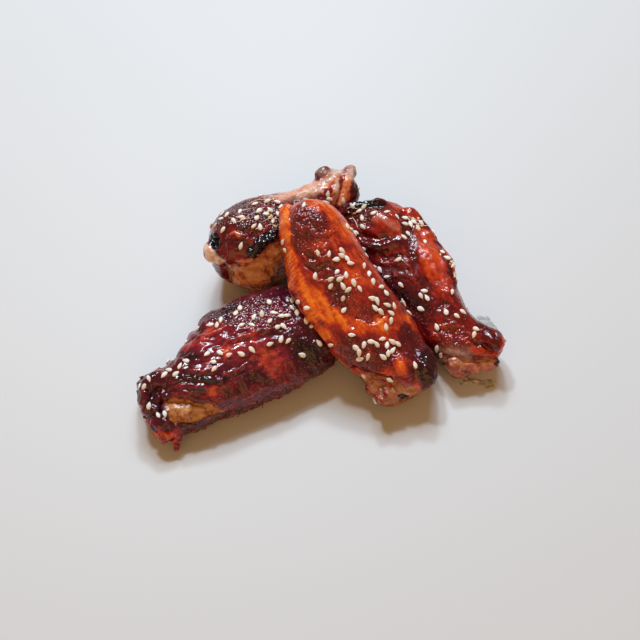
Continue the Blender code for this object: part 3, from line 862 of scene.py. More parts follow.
def drumette():
    w = Wing("drumette")
    clay = w.clay
    clay.ball(w.under(323, 174, 2.4), (3.0, 2.4, 2.6), 20, soft=1.2)
    clay.ball(w.under(350, 173, 2.2), (2.3, 2.0, 2.6), 0, soft=1.8)
    clay.rod([w.under(345, 176, 1.6), w.under(349, 170, 1.6), w.under(352, 168, 2.0)], (1.3, 1.1, 0.8), soft=1.2)
    clay.rod([w.under(349, 172, 1.0), w.under(347, 188, 0.8), w.under(340, 204, 0.8)], (1.2, 1.5, 1.2), soft=1.2)
    clay.rod([w.under(337, 176, 1.0), w.under(336, 190, 0.8), w.under(331, 204, 0.8)], (0.9, 1.2, 1.0), soft=1.2)
    clay.rod([w.under(343, 176, -0.2), w.under(342, 188, -0.3), w.under(337, 202, 0.0)], (0.6, 0.8, 0.6), soft=0.8, cut=True)
    clay.rod([w.under(318, 186, 0.8), w.under(326, 190, 0.6), w.under(332, 200, 0.8)], (0.8, 1.1, 0.8), soft=1.2)
    clay.ball(w.under(213, 252, 1.6), (3.0, 3.6, 3.4), 0, soft=1.0)
    clay.ball(w.under(215, 243, -0.5), (1.6, 2.2, 1.7), 0, soft=0.8, cut=True)
    clay.rod([w.under(220, 262, -0.6), w.under(223, 268, -0.6), w.under(226, 276, -0.4)], (1.2, 1.4, 1.0), soft=1.0, cut=True)
    clay.rod([w.under(224, 236, -0.2), w.under(223, 246, -0.4), w.under(224, 256, -0.2)], (0.6, 0.9, 0.7), soft=1.0, cut=True)
    clay.rod([w.under(238, 230, -0.4), w.under(248, 232, -0.5), w.under(257, 238, -0.1)], (0.7, 1.1, 0.7), soft=0.7, cut=True)
    # ledge of crust over the bare meat, and the meat's folds
    clay.rod([w.under(252, 254, 0.4), w.under(260, 246, 0.2), w.under(274, 236, 0.2), w.under(284, 232, 0.4)], (1.7, 1.8, 1.6, 1.2), soft=0.9)
    clay.rod([w.under(238, 258, 0.2), w.under(248, 260, 0.2), w.under(258, 256, 0.3)], (0.8, 1.0, 0.8), soft=0.8)
    clay.rod([w.under(236, 267, 0.0), w.under(252, 268, -0.4), w.under(266, 262, -0.4), w.under(282, 258, 0.0)], (0.6, 1.1, 1.2, 0.6), soft=1.4, cut=True)
    clay.ball(w.under(258, 277, 1.8), (6.0, 4.0, 3.6), 10, soft=2.2)
    clay.ball(w.under(276, 252, 1.6), (4.0, 3.2, 3.0), 30, soft=1.8)
    clay.ball(w.under(240, 276, 1.2), (2.6, 3.6, 3.0), 0, soft=1.6)
    clay.rod([w.under(268, 270, 0.0), w.under(274, 278, -0.3), w.under(276, 288, 0.0)], (0.6, 0.9, 0.6), soft=1.2, cut=True)
    w.surface()
    base_layers(w, 400)
    paint = Paint(w, 0.66, 0.8, 410)
    P, u, v, f = w.points, paint.u, paint.v, w.front
    for value, weight, *shape in (
        (0.80, 0.9, "P", [(212, 222), (222, 206), (250, 198), (276, 202), (284, 222), (256, 228), (236, 226), (216, 234)], 5),
        (0.70, 0.9, "P", [(222, 232), (240, 230), (252, 238), (252, 256), (236, 260), (224, 250)], 4),
        (0.30, 0.9, "o", 235, 234, 6, 4, 30, 0.7),
        (0.98, 0.8, "o", 235, 242, 4, 3.5, 0, 0.7),
        (0.06, 0.9, "s", [(236, 261), (244, 263), (256, 259), (268, 252)], 1.6, 2),
        (0.04, 0.9, "s", [(206, 246), (210, 256), (220, 263)], 3, 3),
        (0.60, 0.7, "P", [(246, 200), (262, 194), (280, 194), (284, 206), (264, 208)], 5),
        (0.16, 0.9, "S", [(282, 198), (300, 192), (318, 186), (336, 180)], 6, 5),
        # reddish-brown under the neck, darkened further as painted shade
        (0.62, 0.8, "O", 320, 200, 10, 5, -20, 0.8),
        (0.55, 0.6, "O", 296, 201, 8, 4, -10, 0.8),
        (0.82, 0.9, "o", 318, 173, 9, 8, 0, 0.7),
        (0.30, 0.8, "o", 336, 174, 8, 6, -20, 0.7),
        (0.08, 0.9, "s", [(348, 178), (346, 190), (341, 204)], 4, 3),
        (0.20, 0.8, "s", [(337, 178), (336, 192), (331, 206)], 2.5, 3),
        # dark reddish-brown right side of the bone end, darkened further as painted shade
        (0.95, 0.9, "S", [(356, 178), (357, 192), (354, 206)], 3, 3),
        (0.45, 0.9, "o", 351, 166, 4, 2.5, 0, 0.7),
    ):
        paint("glaze", value, weight, *shape)
    for value, *shape in (
        (1.0, "o", 215, 242, 6, 9, -10, 0.3),
        (1.0, "s", [(251, 254), (258, 248), (264, 240), (278, 232)], 4.8, 3),
        (1.0, "s", [(250, 248), (255, 257)], 4.4, 3),
        (0.30, "o", 313, 176, 4, 6, 0, 0.7),
        (0.45, "s", [(212, 226), (214, 216), (222, 208)], 2, 3),
        (0.50, "s", [(226, 266), (231, 280), (238, 290)], 1.0, 2),
        # painted shade on the right side of the bone end, through the char layer
        (0.55, "s", [(357, 178), (358, 198)], 1.6, 2),
    ):
        paint("char", value, 1.0, *shape)
    paint("meat", 1.0, 1.0, "p", [(225, 264), (238, 267), (252, 263), (262, 255), (272, 245), (284, 241), (300, 240), (300, 300), (238, 300), (229, 282)], 1.5)
    w.meat = np.maximum(w.meat, (1 - f) * step(0.22, 0.05, w.share) * step(5, -5, w.z))
    for value, *shape in (
        (0.95, "o", 351, 173, 5, 6, 0, 0.6),
        (0.34, "o", 322, 172, 5, 4, 0, 0.8),
        # painted highlight: a pale line down the fold of the bone end
        (0.80, "s", [(338, 180), (336, 196)], 1.2, 2),
        (1.00, "s", [(205, 246), (212, 258), (221, 262)], 4, 3),
        (0.75, "S", [(286, 199), (304, 194), (320, 187), (332, 179)], 2, 5),
        (0.85, "o", 336, 171, 7, 5, -20, 0.6),
        (0.40, "S", [(264, 200), (282, 197), (296, 198)], 2, 3),
        (0.40, "o", 278, 250, 8, 6, 0, 0.8),
        (0.35, "o", 256, 272, 14, 7, 0, 0.8),
    ):
        paint("pale", value, 1.0, *shape)
    paint("frost", 0.98, 0.95, "P", [(212, 220), (226, 204), (250, 196), (284, 200), (284, 230), (262, 236), (240, 224), (216, 230)], 4)
    paint("frost", 0.85, 0.8, "O", 322, 176, 12, 8, 0, 0.8)
    paint("frost", 0.70, 0.8, "S", [(286, 197), (304, 192), (322, 190), (334, 196)], 3, 6)
    paint("frost", 0.05, 0.9, "P", [(222, 232), (242, 232), (250, 244), (246, 256), (230, 254)], 4)
    w.h += f * (
        0.5 * stroke(u, v, [(262, 200), (290, 197), (316, 188)], 1, 4)
        - 0.5 * stroke(u, v, [(270, 206), (296, 203), (318, 196)], 1, 3)
        + 0.6 * stroke(u, v, [(244, 240), (256, 244), (262, 236)], 1, 3)
        + 0.5 * stroke(u, v, [(228, 238), (236, 232), (246, 236)], 1, 3)
    )
    paint("glaze", 0.12, 0.8, "s", [(272, 198), (290, 193), (304, 189), (316, 182)], 1.5, 3)
    paint("pale", 0.40, 0.9, "s", [(272, 198), (290, 193), (304, 189), (316, 182)], 1.5, 3)
    neck = f * patch(u, v, [(262, 206), (284, 196), (318, 182), (336, 174), (340, 200), (318, 204), (280, 208)], 6)
    w.h += neck * (0.45 * ridged(w.local * np.array((0.35, 1.0, 1.0)), 3.0, 460, 2) + 0.25 * layered(P, 2.4, 462))
    w.glaze += 0.18 * neck * layered(P, 3.0, 465, 2)
    w.h -= 1.1 * w.meat
    fine_relief(w, 450)
    return w


# --------------------------------------------------------------- materials
class Nodes:
    """Short hand for building a node tree."""

    def __init__(self, name):
        self.material = bpy.data.materials.new(name)
        self.material.use_nodes = True
        self.tree = self.material.node_tree
        self.shader = self.tree.nodes["Principled BSDF"]
        self.places = self.tree.nodes.new("ShaderNodeTexCoord").outputs["Object"]

    def link(self, source, socket):
        if isinstance(source, (int, float)):
            socket.default_value = source
        elif isinstance(source, tuple):
            socket.default_value = (*source, 1.0) if len(source) == 3 else source
        else:
            self.tree.links.new(source, socket)

    def attribute(self, name):
        node = self.tree.nodes.new("ShaderNodeAttribute")
        node.attribute_name = name
        return node.outputs["Fac"]

    def noise(self, size_mm, detail=2.0, rough=0.5, stretch=None, where=None):
        node = self.tree.nodes.new("ShaderNodeTexNoise")
        node.inputs["Scale"].default_value = 1000.0 / size_mm
        node.inputs["Detail"].default_value = detail
        node.inputs["Roughness"].default_value = rough
        self.link(self.stretched(stretch) if stretch else (where or self.places), node.inputs["Vector"])
        return node.outputs["Fac"]

    def stretched(self, stretch):
        turn, scale = stretch
        node = self.tree.nodes.new("ShaderNodeMapping")
        node.inputs["Rotation"].default_value = turn
        node.inputs["Scale"].default_value = scale
        self.link(self.places, node.inputs["Vector"])
        return node.outputs["Vector"]

    def grains(self, size_mm, feature="F1"):
        node = self.tree.nodes.new("ShaderNodeTexVoronoi")
        node.feature = feature
        node.inputs["Scale"].default_value = 1000.0 / size_mm
        self.link(self.places, node.inputs["Vector"])
        return node.outputs["Distance"]

    def sum(self, operation, a, b=0.0, c=0.0, clamp=False):
        node = self.tree.nodes.new("ShaderNodeMath")
        node.operation = operation
        node.use_clamp = clamp
        for value, socket in zip((a, b, c), node.inputs):
            self.link(value, socket)
        return node.outputs["Value"]

    def range(self, value, low, high, to_low=0.0, to_high=1.0, smooth=True):
        node = self.tree.nodes.new("ShaderNodeMapRange")
        node.interpolation_type = "SMOOTHSTEP" if smooth else "LINEAR"
        for name, number in (("From Min", low), ("From Max", high), ("To Min", to_low), ("To Max", to_high)):
            self.link(number, node.inputs[name])
        self.link(value, node.inputs["Value"])
        return node.outputs["Result"]

    def mix(self, factor, a, b):
        node = self.tree.nodes.new("ShaderNodeMix")
        node.data_type = "RGBA"
        self.link(factor, node.inputs[0])
        self.link(a, node.inputs[6])
        self.link(b, node.inputs[7])
        return node.outputs[2]

    def blend(self, factor, a, b):
        node = self.tree.nodes.new("ShaderNodeMix")
        self.link(factor, node.inputs[0])
        self.link(a, node.inputs[2])
        self.link(b, node.inputs[3])
        return node.outputs[0]

    def ramp(self, value, stops):
        node = self.tree.nodes.new("ShaderNodeValToRGB")
        ramp = node.color_ramp
        while len(ramp.elements) < len(stops):
            ramp.elements.new(0.5)
        for element, (place, colour) in zip(ramp.elements, stops):
            element.position = place
            element.color = (*colour, 1.0)
        self.link(value, node.inputs["Fac"])
        return node.outputs["Color"]

    def bump(self, height, distance_mm, strength=1.0, below=None):
        node = self.tree.nodes.new("ShaderNodeBump")
        node.inputs["Distance"].default_value = distance_mm * MM
        self.link(strength, node.inputs["Strength"])
        self.link(height, node.inputs["Height"])
        if below is not None:
            self.link(below, node.inputs["Normal"])
        return node.outputs["Normal"]

    def set(self, **values):
        for name, value in values.items():
            self.link(value, self.shader.inputs[name.replace("_", " ")])


def glazed(name, bright, thin, red, dark, meat=((0.46, 0.175, 0.060), (0.25, 0.066, 0.022)), painted_glint_colour=(0.46, 0.16, 0.13), pale_and_highlight_colour=(0.90, 0.60, 0.46)):
    """Glaze over skin, char and bare meat, told apart by the piece's attributes. Light specks on the glaze beads are
    painted highlights; at a few places the pale layer carries painted highlights and the char layer painted shade.
    """
    n = Nodes(name)
    glaze, char, bare = n.attribute("glaze"), n.attribute("char"), n.attribute("meat")
    frost, pale, dull = n.attribute("frost"), n.attribute("pale"), n.attribute("dull")
    cloudy = n.noise(2.6, 3.0, 0.6)
    fine = n.noise(0.62, 2.0, 0.6)
    depth = n.sum("ADD", glaze, n.sum("MULTIPLY_ADD", cloudy, 0.72, -0.36))
    grainy = n.sum("MULTIPLY", n.sum("MULTIPLY_ADD", frost, 0.16, 0.06), n.sum("SUBTRACT", fine, 0.5))
    depth = n.sum("ADD", depth, grainy, clamp=True)
    skin = n.ramp(depth, [
        (0.00, bright),
        (0.20, thin),
        (0.46, red),
        (0.74, dark),
        (1.00, (0.58 * dark[0], 0.45 * dark[1], 0.80 * dark[2])),
    ])
    # painted highlights: light specks on the tops of the glaze beads, more where the glaze is frosted
    far = n.grains(0.95)
    painted_glints = n.sum("MULTIPLY", n.range(far, 0.30, 0.12), n.range(n.noise(1.4, 1.0, 0.5), 0.46, 0.56))
    skin = n.mix(n.sum("MULTIPLY", painted_glints, n.sum("MULTIPLY", frost, 0.85)), skin, painted_glint_colour)
    fibre = n.ramp(n.noise(2.0, 4.0, 0.7), [(0.30, meat[1]), (0.58, meat[0]), (0.85, tuple(min(1, 1.5 * c) for c in meat[0]))])
    # pale lightens the bare meat; at a few places that is a painted highlight
    fibre = n.mix(n.sum("MULTIPLY", pale, 0.85), fibre, (0.74, 0.40, 0.22))
    ruddy = n.range(n.noise(3.6, 3.0, 0.65), 0.48, 0.62, 0.0, 0.70)
    fibre = n.mix(ruddy, fibre, (0.28, 0.040, 0.016))
    edge = n.range(n.sum("ADD", bare, n.sum("MULTIPLY_ADD", fine, 0.8, -0.4)), 0.35, 0.65)
    colour = n.mix(edge, skin, fibre)
    rim = n.sum("MULTIPLY", n.sum("MULTIPLY", edge, n.sum("SUBTRACT", 1.0, edge)), 3.2, clamp=True)
    colour = n.mix(rim, colour, (0.070, 0.008, 0.008))
    # pale lightens the skin too; at a few places that is a painted highlight
    pale_and_highlight_mask = n.sum("MULTIPLY", n.sum("MULTIPLY", pale, n.range(n.noise(1.7, 3.0, 0.6), 0.40, 0.60, 0.60, 0.98)), n.sum("SUBTRACT", 1.0, edge))
    colour = n.mix(pale_and_highlight_mask, colour, pale_and_highlight_colour)
    # near black where charred, and at a few places as painted shade
    burnt_and_shade = n.range(n.sum("ADD", char, n.sum("MULTIPLY_ADD", fine, 0.8, -0.4)), 0.30, 0.70)
    colour = n.mix(burnt_and_shade, colour, n.ramp(fine, [(0.3, (0.005, 0.002, 0.005)), (0.8, (0.013, 0.005, 0.012))]))
    rough = n.blend(frost, 0.10, 0.12)
    rough = n.blend(dull, rough, 0.40)
    rough = n.blend(edge, rough, 0.26)
    rough = n.blend(burnt_and_shade, rough, 0.12)
    rough = n.sum("ADD", rough, n.sum("MULTIPLY_ADD", cloudy, 0.10, -0.05))
    calm = n.sum("SUBTRACT", 1.0, n.sum("MAXIMUM", n.sum("MULTIPLY", edge, 0.75), n.sum("MULTIPLY", burnt_and_shade, 0.6)))
    beads = n.sum("MULTIPLY", n.sum("MULTIPLY", far, far), -4.0)
    small = n.noise(0.55, 2.0, 0.55)
    first = n.bump(beads, 0.12, n.sum("MULTIPLY", n.blend(n.sum("MULTIPLY", frost, frost), 0.03, 0.90), calm))
    normal = n.bump(small, 0.10, n.sum("MULTIPLY", n.blend(frost, 0.12, 0.40), calm), first)
    n.set(Base_Color=colour, Roughness=rough, Normal=normal)
    n.set(IOR=1.42, Specular_IOR_Level=0.5, Coat_Weight=0.42, Coat_Roughness=0.04, Coat_IOR=1.43)
    n.link(normal, n.shader.inputs["Coat Normal"])
    n.set(Subsurface_Weight=0.08, Subsurface_Scale=0.0012)
    n.shader.inputs["Subsurface Radius"].default_value = (1.0, 0.25, 0.08)
    return n.material


def seed_hull():
    n = Nodes("sesame_seed")
    tone = n.attribute("tone")
    colour = n.ramp(tone, [(0.0, (0.86, 0.74, 0.56)), (0.30, (0.94, 0.88, 0.77)), (1.0, (0.97, 0.95, 0.91))])
    mottled = n.noise(0.8, 2.0, 0.5)
    colour = n.mix(n.range(mottled, 0.60, 0.85, 0, 0.18), colour, (0.76, 0.60, 0.40))
    stained = n.attribute("stain")
    colour = n.mix(n.sum("MULTIPLY", n.range(stained, 0.45, 0.9), 0.75), colour, (0.30, 0.05, 0.02))
    n.set(Base_Color=colour, Roughness=n.range(mottled, 0.3, 0.7, 0.34, 0.50))
    n.set(IOR=1.47, Specular_IOR_Level=0.5, Coat_Weight=0.0)
    n.set(Normal=n.bump(n.noise(0.35, 2.0, 0.5), 0.03, 0.6))
    n.set(Subsurface_Weight=0.25, Subsurface_Scale=0.0007)
    n.shader.inputs["Subsurface Radius"].default_value = (1.0, 0.7, 0.4)
    return n.material


def floor_finish():
    n = Nodes("pale_table")
    n.set(Base_Color=(0.690, 0.723, 0.757, 1.0), Roughness=0.45, Specular_IOR_Level=0.25)
    return n.material


# ------------------------------------------------------------------- build
WINGS = {}
FINISH = {
    "wing_front": glazed("glaze_front", (0.97, 0.222, 0.020), (0.69, 0.078, 0.013), (0.36, 0.022, 0.015), (0.150, 0.010, 0.013), meat=((0.50, 0.185, 0.090), (0.25, 0.052, 0.026)), painted_glint_colour=(0.62, 0.27, 0.22)),
    "wing_right": glazed("glaze_right", (0.68, 0.072, 0.005), (0.54, 0.038, 0.005), (0.31, 0.014, 0.011), (0.125, 0.006, 0.009), meat=((0.64, 0.235, 0.150), (0.38, 0.060, 0.040)), painted_glint_colour=(0.62, 0.26, 0.23)),
    "wing_left": glazed("glaze_left", (0.74, 0.110, 0.026), (0.50, 0.052, 0.036), (0.26, 0.015, 0.030), (0.105, 0.009, 0.020), meat=((0.58, 0.25, 0.060), (0.36, 0.105, 0.020)), painted_glint_colour=(0.62, 0.30, 0.32)),
    "drumette": glazed("glaze_drumette", (0.86, 0.300, 0.130), (0.66, 0.150, 0.070), (0.29, 0.013, 0.016), (0.105, 0.007, 0.013), meat=((0.70, 0.275, 0.104), (0.42, 0.126, 0.042)), painted_glint_colour=(0.68, 0.41, 0.41), pale_and_highlight_colour=(0.95, 0.72, 0.58)),
}

for make in (front_wing, right_wing, left_wing, drumette):
    before = time.time()
    w = make()
    # glaze runs off crests and gathers in hollows
    drawn = w.local * np.array((0.22, 1.0, 1.0)) + 0.8 * np.stack([layered(w.points, 6.0, 901 + k) for k in range(3)], axis=1)
    w.glaze = w.glaze + 0.26 * layered(drawn, 1.5, 905, 3) * (1 - 0.5 * w.pale)
    hollow = relaxed(w.h, w.quads, 14) - w.h
    w.glaze = w.glaze + np.clip(1.5 * hollow, -0.22, 0.22)
    w.push(w.h)
    w.settle()
    w.thing = make_object(
        w.name + "_skin", w.points, w.quads,
        {"glaze": w.glaze, "char": w.char, "meat": w.meat, "frost": w.frost, "pale": w.pale, "dull": w.dull},
        FINISH[w.name],
    )
    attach(w.thing, "root")
    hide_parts(w.name)
    WINGS[w.name] = w
    print(w.name, len(w.points), "points", round(time.time() - before, 1), "s")


# ------------------------------------------------------------ sesame seeds
# Where the seeds lie: u and v, and the direction of the seed in degrees.
SEEDS = (
    (283, 242, 120), (285, 250, 36), (318, 253, 72), (329, 254, 96), (342, 251, 45), (337, 259, 168),
    (340, 257, 20), (348, 260, 60), (350, 263, 5), (337, 272, 132), (346, 275, 84), (340, 279, 156),
    (331, 279, 156), (315, 276, 96), (331, 286, 120), (343, 286, 60), (348, 290, 144), (354, 283, 72),
    (360, 289, 60), (364, 266, 96), (369, 274, 96), (373, 282, 84), (381, 287, 168), (386, 293, 60),
    (343, 299, 120), (344, 310, 132), (373, 299, 12), (376, 301, 75), (375, 308, 48), (381, 312, 50),
    (387, 305, 20), (394, 306, 72), (391, 313, 36), (391, 321, 96), (386, 327, 84), (403, 304, 48),
    (409, 313, 50), (352, 335, 0), (357, 349, 36), (359, 352, 90), (364, 345, 110), (368, 357, 108),
    (360, 359, 168), (372, 342, 5), (376, 344, 48), (382, 339, 168), (387, 345, 95), (392, 342, 35),
    (397, 344, 36), (392, 351, 132), (389, 353, 95), (383, 357, 36), (331, 345, 168), (312, 326, 156),
    (306, 321, 70), (297, 313, 84), (307, 308, 0), (298, 302, 168), (292, 301, 75), (292, 308, 50),
    (319, 343, 50), (364, 376, 60), (390, 380, 20), (415, 365, 75), (375, 400, 50), (352, 206, 60),
    (364, 207, 135), (359, 211, 144), (362, 218, 80), (363, 227, 45), (374, 213, 144), (387, 212, 0),
    (397, 217, 60), (405, 218, 12), (405, 224, 10), (414, 222, 36), (410, 226, 72), (418, 228, 60),
    (408, 234, 60), (404, 237, 40), (425, 242, 84), (348, 227, 72), (352, 230, 0), (355, 232, 24),
    (363, 249, 20), (398, 260, 160), (380, 270, 60), (387, 277, 175), (401, 285, 45), (421, 296, 60),
    (424, 291, 12), (427, 298, 60), (421, 309, 25), (452, 292, 108), (446, 312, 72), (457, 316, 36),
    (463, 312, 36), (437, 327, 72), (476, 329, 24), (474, 335, 108), (437, 349, 96), (441, 355, 108),
    (240, 308, 84), (236, 313, 108), (262, 314, 84), (254, 317, 108), (269, 302, 60), (274, 313, 12),
    (270, 321, 132), (282, 316, 0), (286, 316, 0), (278, 327, 156), (283, 327, 45), (252, 325, 24),
    (242, 325, 156), (210, 325, 168), (217, 325, 84), (221, 321, 96), (198, 329, 144), (252, 350, 48),
    (241, 354, 24), (229, 355, 160), (220, 353, 36), (207, 354, 132), (186, 361, 12), (213, 362, 12),
    (214, 369, 132), (180, 366, 110), (176, 374, 144), (169, 370, 0), (164, 375, 135), (149, 379, 60),
    (144, 387, 120), (149, 406, 96), (158, 415, 60), (165, 414, 75), (270, 344, 156), (281, 339, 108),
    (288, 341, 132), (302, 355, 20), (221, 219, 168), (227, 215, 120), (216, 225, 150), (223, 230, 120),
    (234, 221, 48), (241, 217, 0), (240, 212, 100), (255, 204, 156), (259, 211, 144), (257, 218, 120),
    (268, 201, 156), (270, 210, 36), (281, 207, 144), (278, 214, 60), (273, 221, 96), (277, 202, 24),
    (241, 246, 108), (328, 195, 96), (329, 199, 10), (343, 201, 84), (304, 205, 108), (447, 258, 24),
    (421, 223, 48), (442, 252, 48), (453, 266, 144), (266, 214, 168), (254, 226, 132), (260, 227, 84),
)
SEED = (2.62, 1.56, 0.90)      # length, width and thickness, mm


def round_grid(n):
    """Points and quads of a unit ball made from a cube of n x n squares a side."""
    t = np.tan(np.linspace(-math.pi / 4, math.pi / 4, n + 1))
    points, quads = {}, []
    for axis in range(3):
        for side in (-1, 1):
            for i in range(n):
                for j in range(n):
                    corners = []
                    for a, b in ((0, 0), (1, 0), (1, 1), (0, 1)):
                        p = [0.0, 0.0, 0.0]
                        p[axis] = side
                        p[(axis + 1) % 3] = t[i + a]
                        p[(axis + 2) % 3] = t[j + b]
                        key = tuple(round(c, 6) for c in p)
                        corners.append(points.setdefault(key, len(points)))
                    quads.append(corners if side > 0 else corners[::-1])
    points = np.array(list(points))
    return points / np.linalg.norm(points, axis=1, keepdims=True), np.array(quads)


def seed_points(ball, rng):
    """One seed: blunt at one end, pointed at the other, a little uneven."""
    size = np.array(SEED) * rng.uniform(0.90, 1.08) * np.array((rng.uniform(0.95, 1.06), rng.uniform(0.88, 1.08), rng.uniform(0.85, 1.1)))
    x, y, z = ball.T
    taper = 1 - 0.46 * step(-0.30, 1.0, x) ** 1.2
    belly = 1 - 0.10 * np.exp(-((y / 0.4) ** 2)) * (z > 0)
    bend = rng.uniform(-0.08, 0.08) * x * x
    return np.stack([x * size[0] / 2, (y * taper + bend) * size[1] / 2, z * (0.55 + 0.45 * taper) * belly * size[2] / 2], axis=1)


class Pile:
    """Many small things gathered into one mesh."""

    def __init__(self):
        self.points, self.faces, self.extra, self.count = [], [], {}, 0

    def add(self, points, faces, **extra):
        self.points.append(points)
        self.faces.append(np.asarray(faces) + self.count)
        self.count += len(points)
        for key, values in extra.items():
            self.extra.setdefault(key, []).append(np.broadcast_to(values, len(points)))

    def make(self, name, material):
        thing = make_object(
            name, np.concatenate(self.points), np.concatenate(self.faces),
            {key: np.concatenate(values) for key, values in self.extra.items()}, material,
        )
        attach(thing, "root")
        return thing


everything = BVHTree.FromPolygons(
    np.concatenate([w.points for w in WINGS.values()]).tolist(),
    np.concatenate([
        w.quads + sum(len(k.points) for k in list(WINGS.values())[:i]) for i, w in enumerate(WINGS.values())
    ]).tolist(),
)


def on_skin(u, v):
    """The place and smoothed normal of the skin seen at (u, v), or None."""
    hit, normal, _, _ = everything.ray_cast(Vector(EYE), Vector(ray_through(u, v)))
    if hit is None:
        return None
    around = np.array(normal)
    for du, dv in ((2.5, 0), (-2.5, 0), (0, 2.5), (0, -2.5)):
        near, other, _, _ = everything.ray_cast(Vector(EYE), Vector(ray_through(u + du, v + dv)))
        if near is not None and (near - hit).length < 3.0:
            around += np.array(other)
    return np.array(hit), around / np.linalg.norm(around)


def lay(points, place, long_way, normal):
    """Points turned to lie along long_way, their z along the normal."""
    long_way = long_way - normal * (long_way @ normal)
    long_way /= np.linalg.norm(long_way)
    side = np.cross(normal, long_way)
    return place + points @ np.stack([long_way, side, normal])


rng = np.random.default_rng(7)
BALL, BALL_QUADS = round_grid(5)
seeds, taken = Pile(), []


def lay_seed(place, way, normal):
    near = [k for k in taken if np.linalg.norm(k - place) < 2.0]
    tilt = normal + rng.normal(0, 0.14, 3)
    tilt /= np.linalg.norm(tilt)
    lifted = place + normal * (0.16 + 0.42 * min(len(near), 2))
    taken.append(place)
    points = seed_points(BALL, rng)
    stain = np.clip(0.5 - points[:, 2] / SEED[2] + rng.uniform(-0.5, 0.15), 0, 1)
    seeds.add(lay(points, lifted, way * rng.choice((-1, 1)), tilt), BALL_QUADS, tone=rng.uniform(0.15, 1.0), stain=stain)


RIGHT = np.array((1.0, 0.0, 0.0))
# seeds side by side are nudged apart, so that they don't sink into each other
spots = np.array([(u, v) for u, v, _ in SEEDS], float)
for _ in range(6):
    apart = spots[:, None] - spots[None]
    far = np.linalg.norm(apart, axis=2) + np.eye(len(spots)) * 99
    push = np.clip(5.6 - far, 0, 2) * 0.4
    spots += (apart / np.maximum(far, 0.5)[..., None] * push[..., None]).sum(axis=1)
for (u, v), (_, _, turn) in zip(spots, SEEDS):
    found = on_skin(u, v)
    if found is None:
        continue
    place, normal = found
    turn = math.radians(turn)
    way = RIGHT * math.cos(turn) - UPWARD * math.sin(turn)
    way = way - FORWARD * (normal @ way) / min(-0.2, normal @ FORWARD)
    lay_seed(place, way, normal)
# a few on the sides that the main view doesn't reach
for w, many in zip(WINGS.values(), (10, 12, 12, 9)):
    hidden = np.nonzero((w.facing < 0.05) & (w.normals[:, 2] > 0.05) & (w.meat < 0.2))[0]
    if len(hidden):
        for k in rng.choice(hidden, many):
            lay_seed(w.points[k], rng.normal(0, 1, 3), w.normals[k])
seeds.make("sesame_seeds", seed_hull())


# ------------------------------------------------- crumbs, strands and hairs
def lump(size, rough, turn):
    """A small uneven crumb: an oval ball with knocked-off corners."""
    points = BALL * (1 + rough * noise(BALL, 0.9, rng.integers(9999))[:, None]) * np.array(size) / 2
    c, k = math.cos(turn), math.sin(turn)
    return np.stack([points[:, 0] * c - points[:, 1] * k, points[:, 0] * k + points[:, 1] * c, points[:, 2]], axis=1)


def thread(line, radii, sides=7):
    """A thin closed tube along a line of points."""
    line = np.array(line, float)
    reach = np.arange(len(line))
    fine = np.linspace(0, len(line) - 1, 6 * (len(line) - 1) + 1)
    path = np.stack([np.interp(fine, reach, line[:, k]) for k in range(3)], axis=1)
    for _ in range(3):
        path[1:-1] = (path[:-2] + 2 * path[1:-1] + path[2:]) / 4
    radius = np.interp(fine, reach, radii)
    way = np.gradient(path, axis=0)
    way /= np.linalg.norm(way, axis=1, keepdims=True)
    across = np.cross(way, (0.31, 0.52, 0.80))
    across /= np.linalg.norm(across, axis=1, keepdims=True)
    other = np.cross(way, across)
    turn = 2 * math.pi * np.arange(sides) / sides
    rings = path[:, None] + radius[:, None, None] * (np.cos(turn)[None, :, None] * across[:, None] + np.sin(turn)[None, :, None] * other[:, None])
    rings[0], rings[-1] = path[0], path[-1]
    rings[0] += (rings[1] - path[1]) * 0.05
    rings[-1] += (rings[-2] - path[-2]) * 0.05
    k = np.arange(len(path) - 1)[:, None] * sides
    a, b = np.arange(sides)[None], (np.arange(sides)[None] + 1) % sides
    faces = np.stack([k + a, k + b, k + sides + b, k + sides + a], axis=-1).reshape(-1, 4)
    ends = []
    for base in (0, (len(path) - 1) * sides):
        ring = list(range(base, base + sides))
        ends += [(ring[0], ring[j], ring[j + 1], ring[j + 1]) for j in range(1, sides - 1)]
    return rings.reshape(-1, 3), faces


def scatter(name, finish):
    n = Nodes(name)
    tone = n.attribute("tone")
    colour = n.ramp(n.sum("ADD", tone, n.sum("MULTIPLY_ADD", n.noise(0.7, 2.0, 0.5), 0.5, -0.25), clamp=True), finish)
    n.set(Base_Color=colour, Roughness=n.range(n.noise(0.9, 1.0, 0.5), 0.3, 0.7, 0.22, 0.42))
    n.set(IOR=1.45, Specular_IOR_Level=0.5, Subsurface_Weight=0.12, Subsurface_Scale=0.0006)
    return n.material


garlic = Pile()
for x, y, many, wide in ((455, 264, 7, 4.0), (458, 273, 7, 3.5), (460, 281, 6, 3.0), (420, 224, 4, 3.5), (412, 217, 4, 4.0), (442, 252, 3, 2.5), (352, 215, 3, 4.0), (350, 228, 3, 3.0), (268, 212, 4, 6.0), (244, 222, 3, 6.0), (274, 228, 3, 4.0)):
    for _ in range(many):
        found = None
        for _ in range(6):
            at = (x + rng.normal(0, wide * 0.5), y + rng.normal(0, wide * 0.5))
            found = on_skin(*at)
            if found is not None:
                break
        if found is None:
            continue
        place, normal = found
        points = lump((rng.uniform(0.6, 1.5), rng.uniform(0.5, 0.9), rng.uniform(0.4, 0.7)), 0.35, 0.0)
        garlic.add(lay(points, place + normal * 0.12, rng.normal(0, 1, 3), normal), BALL_QUADS, tone=rng.uniform(0.1, 1.0))
garlic.make("garlic_bits", scatter("garlic_bits", [(0.0, (0.66, 0.30, 0.10)), (0.45, (0.88, 0.66, 0.38)), (1.0, (0.96, 0.90, 0.76))]))

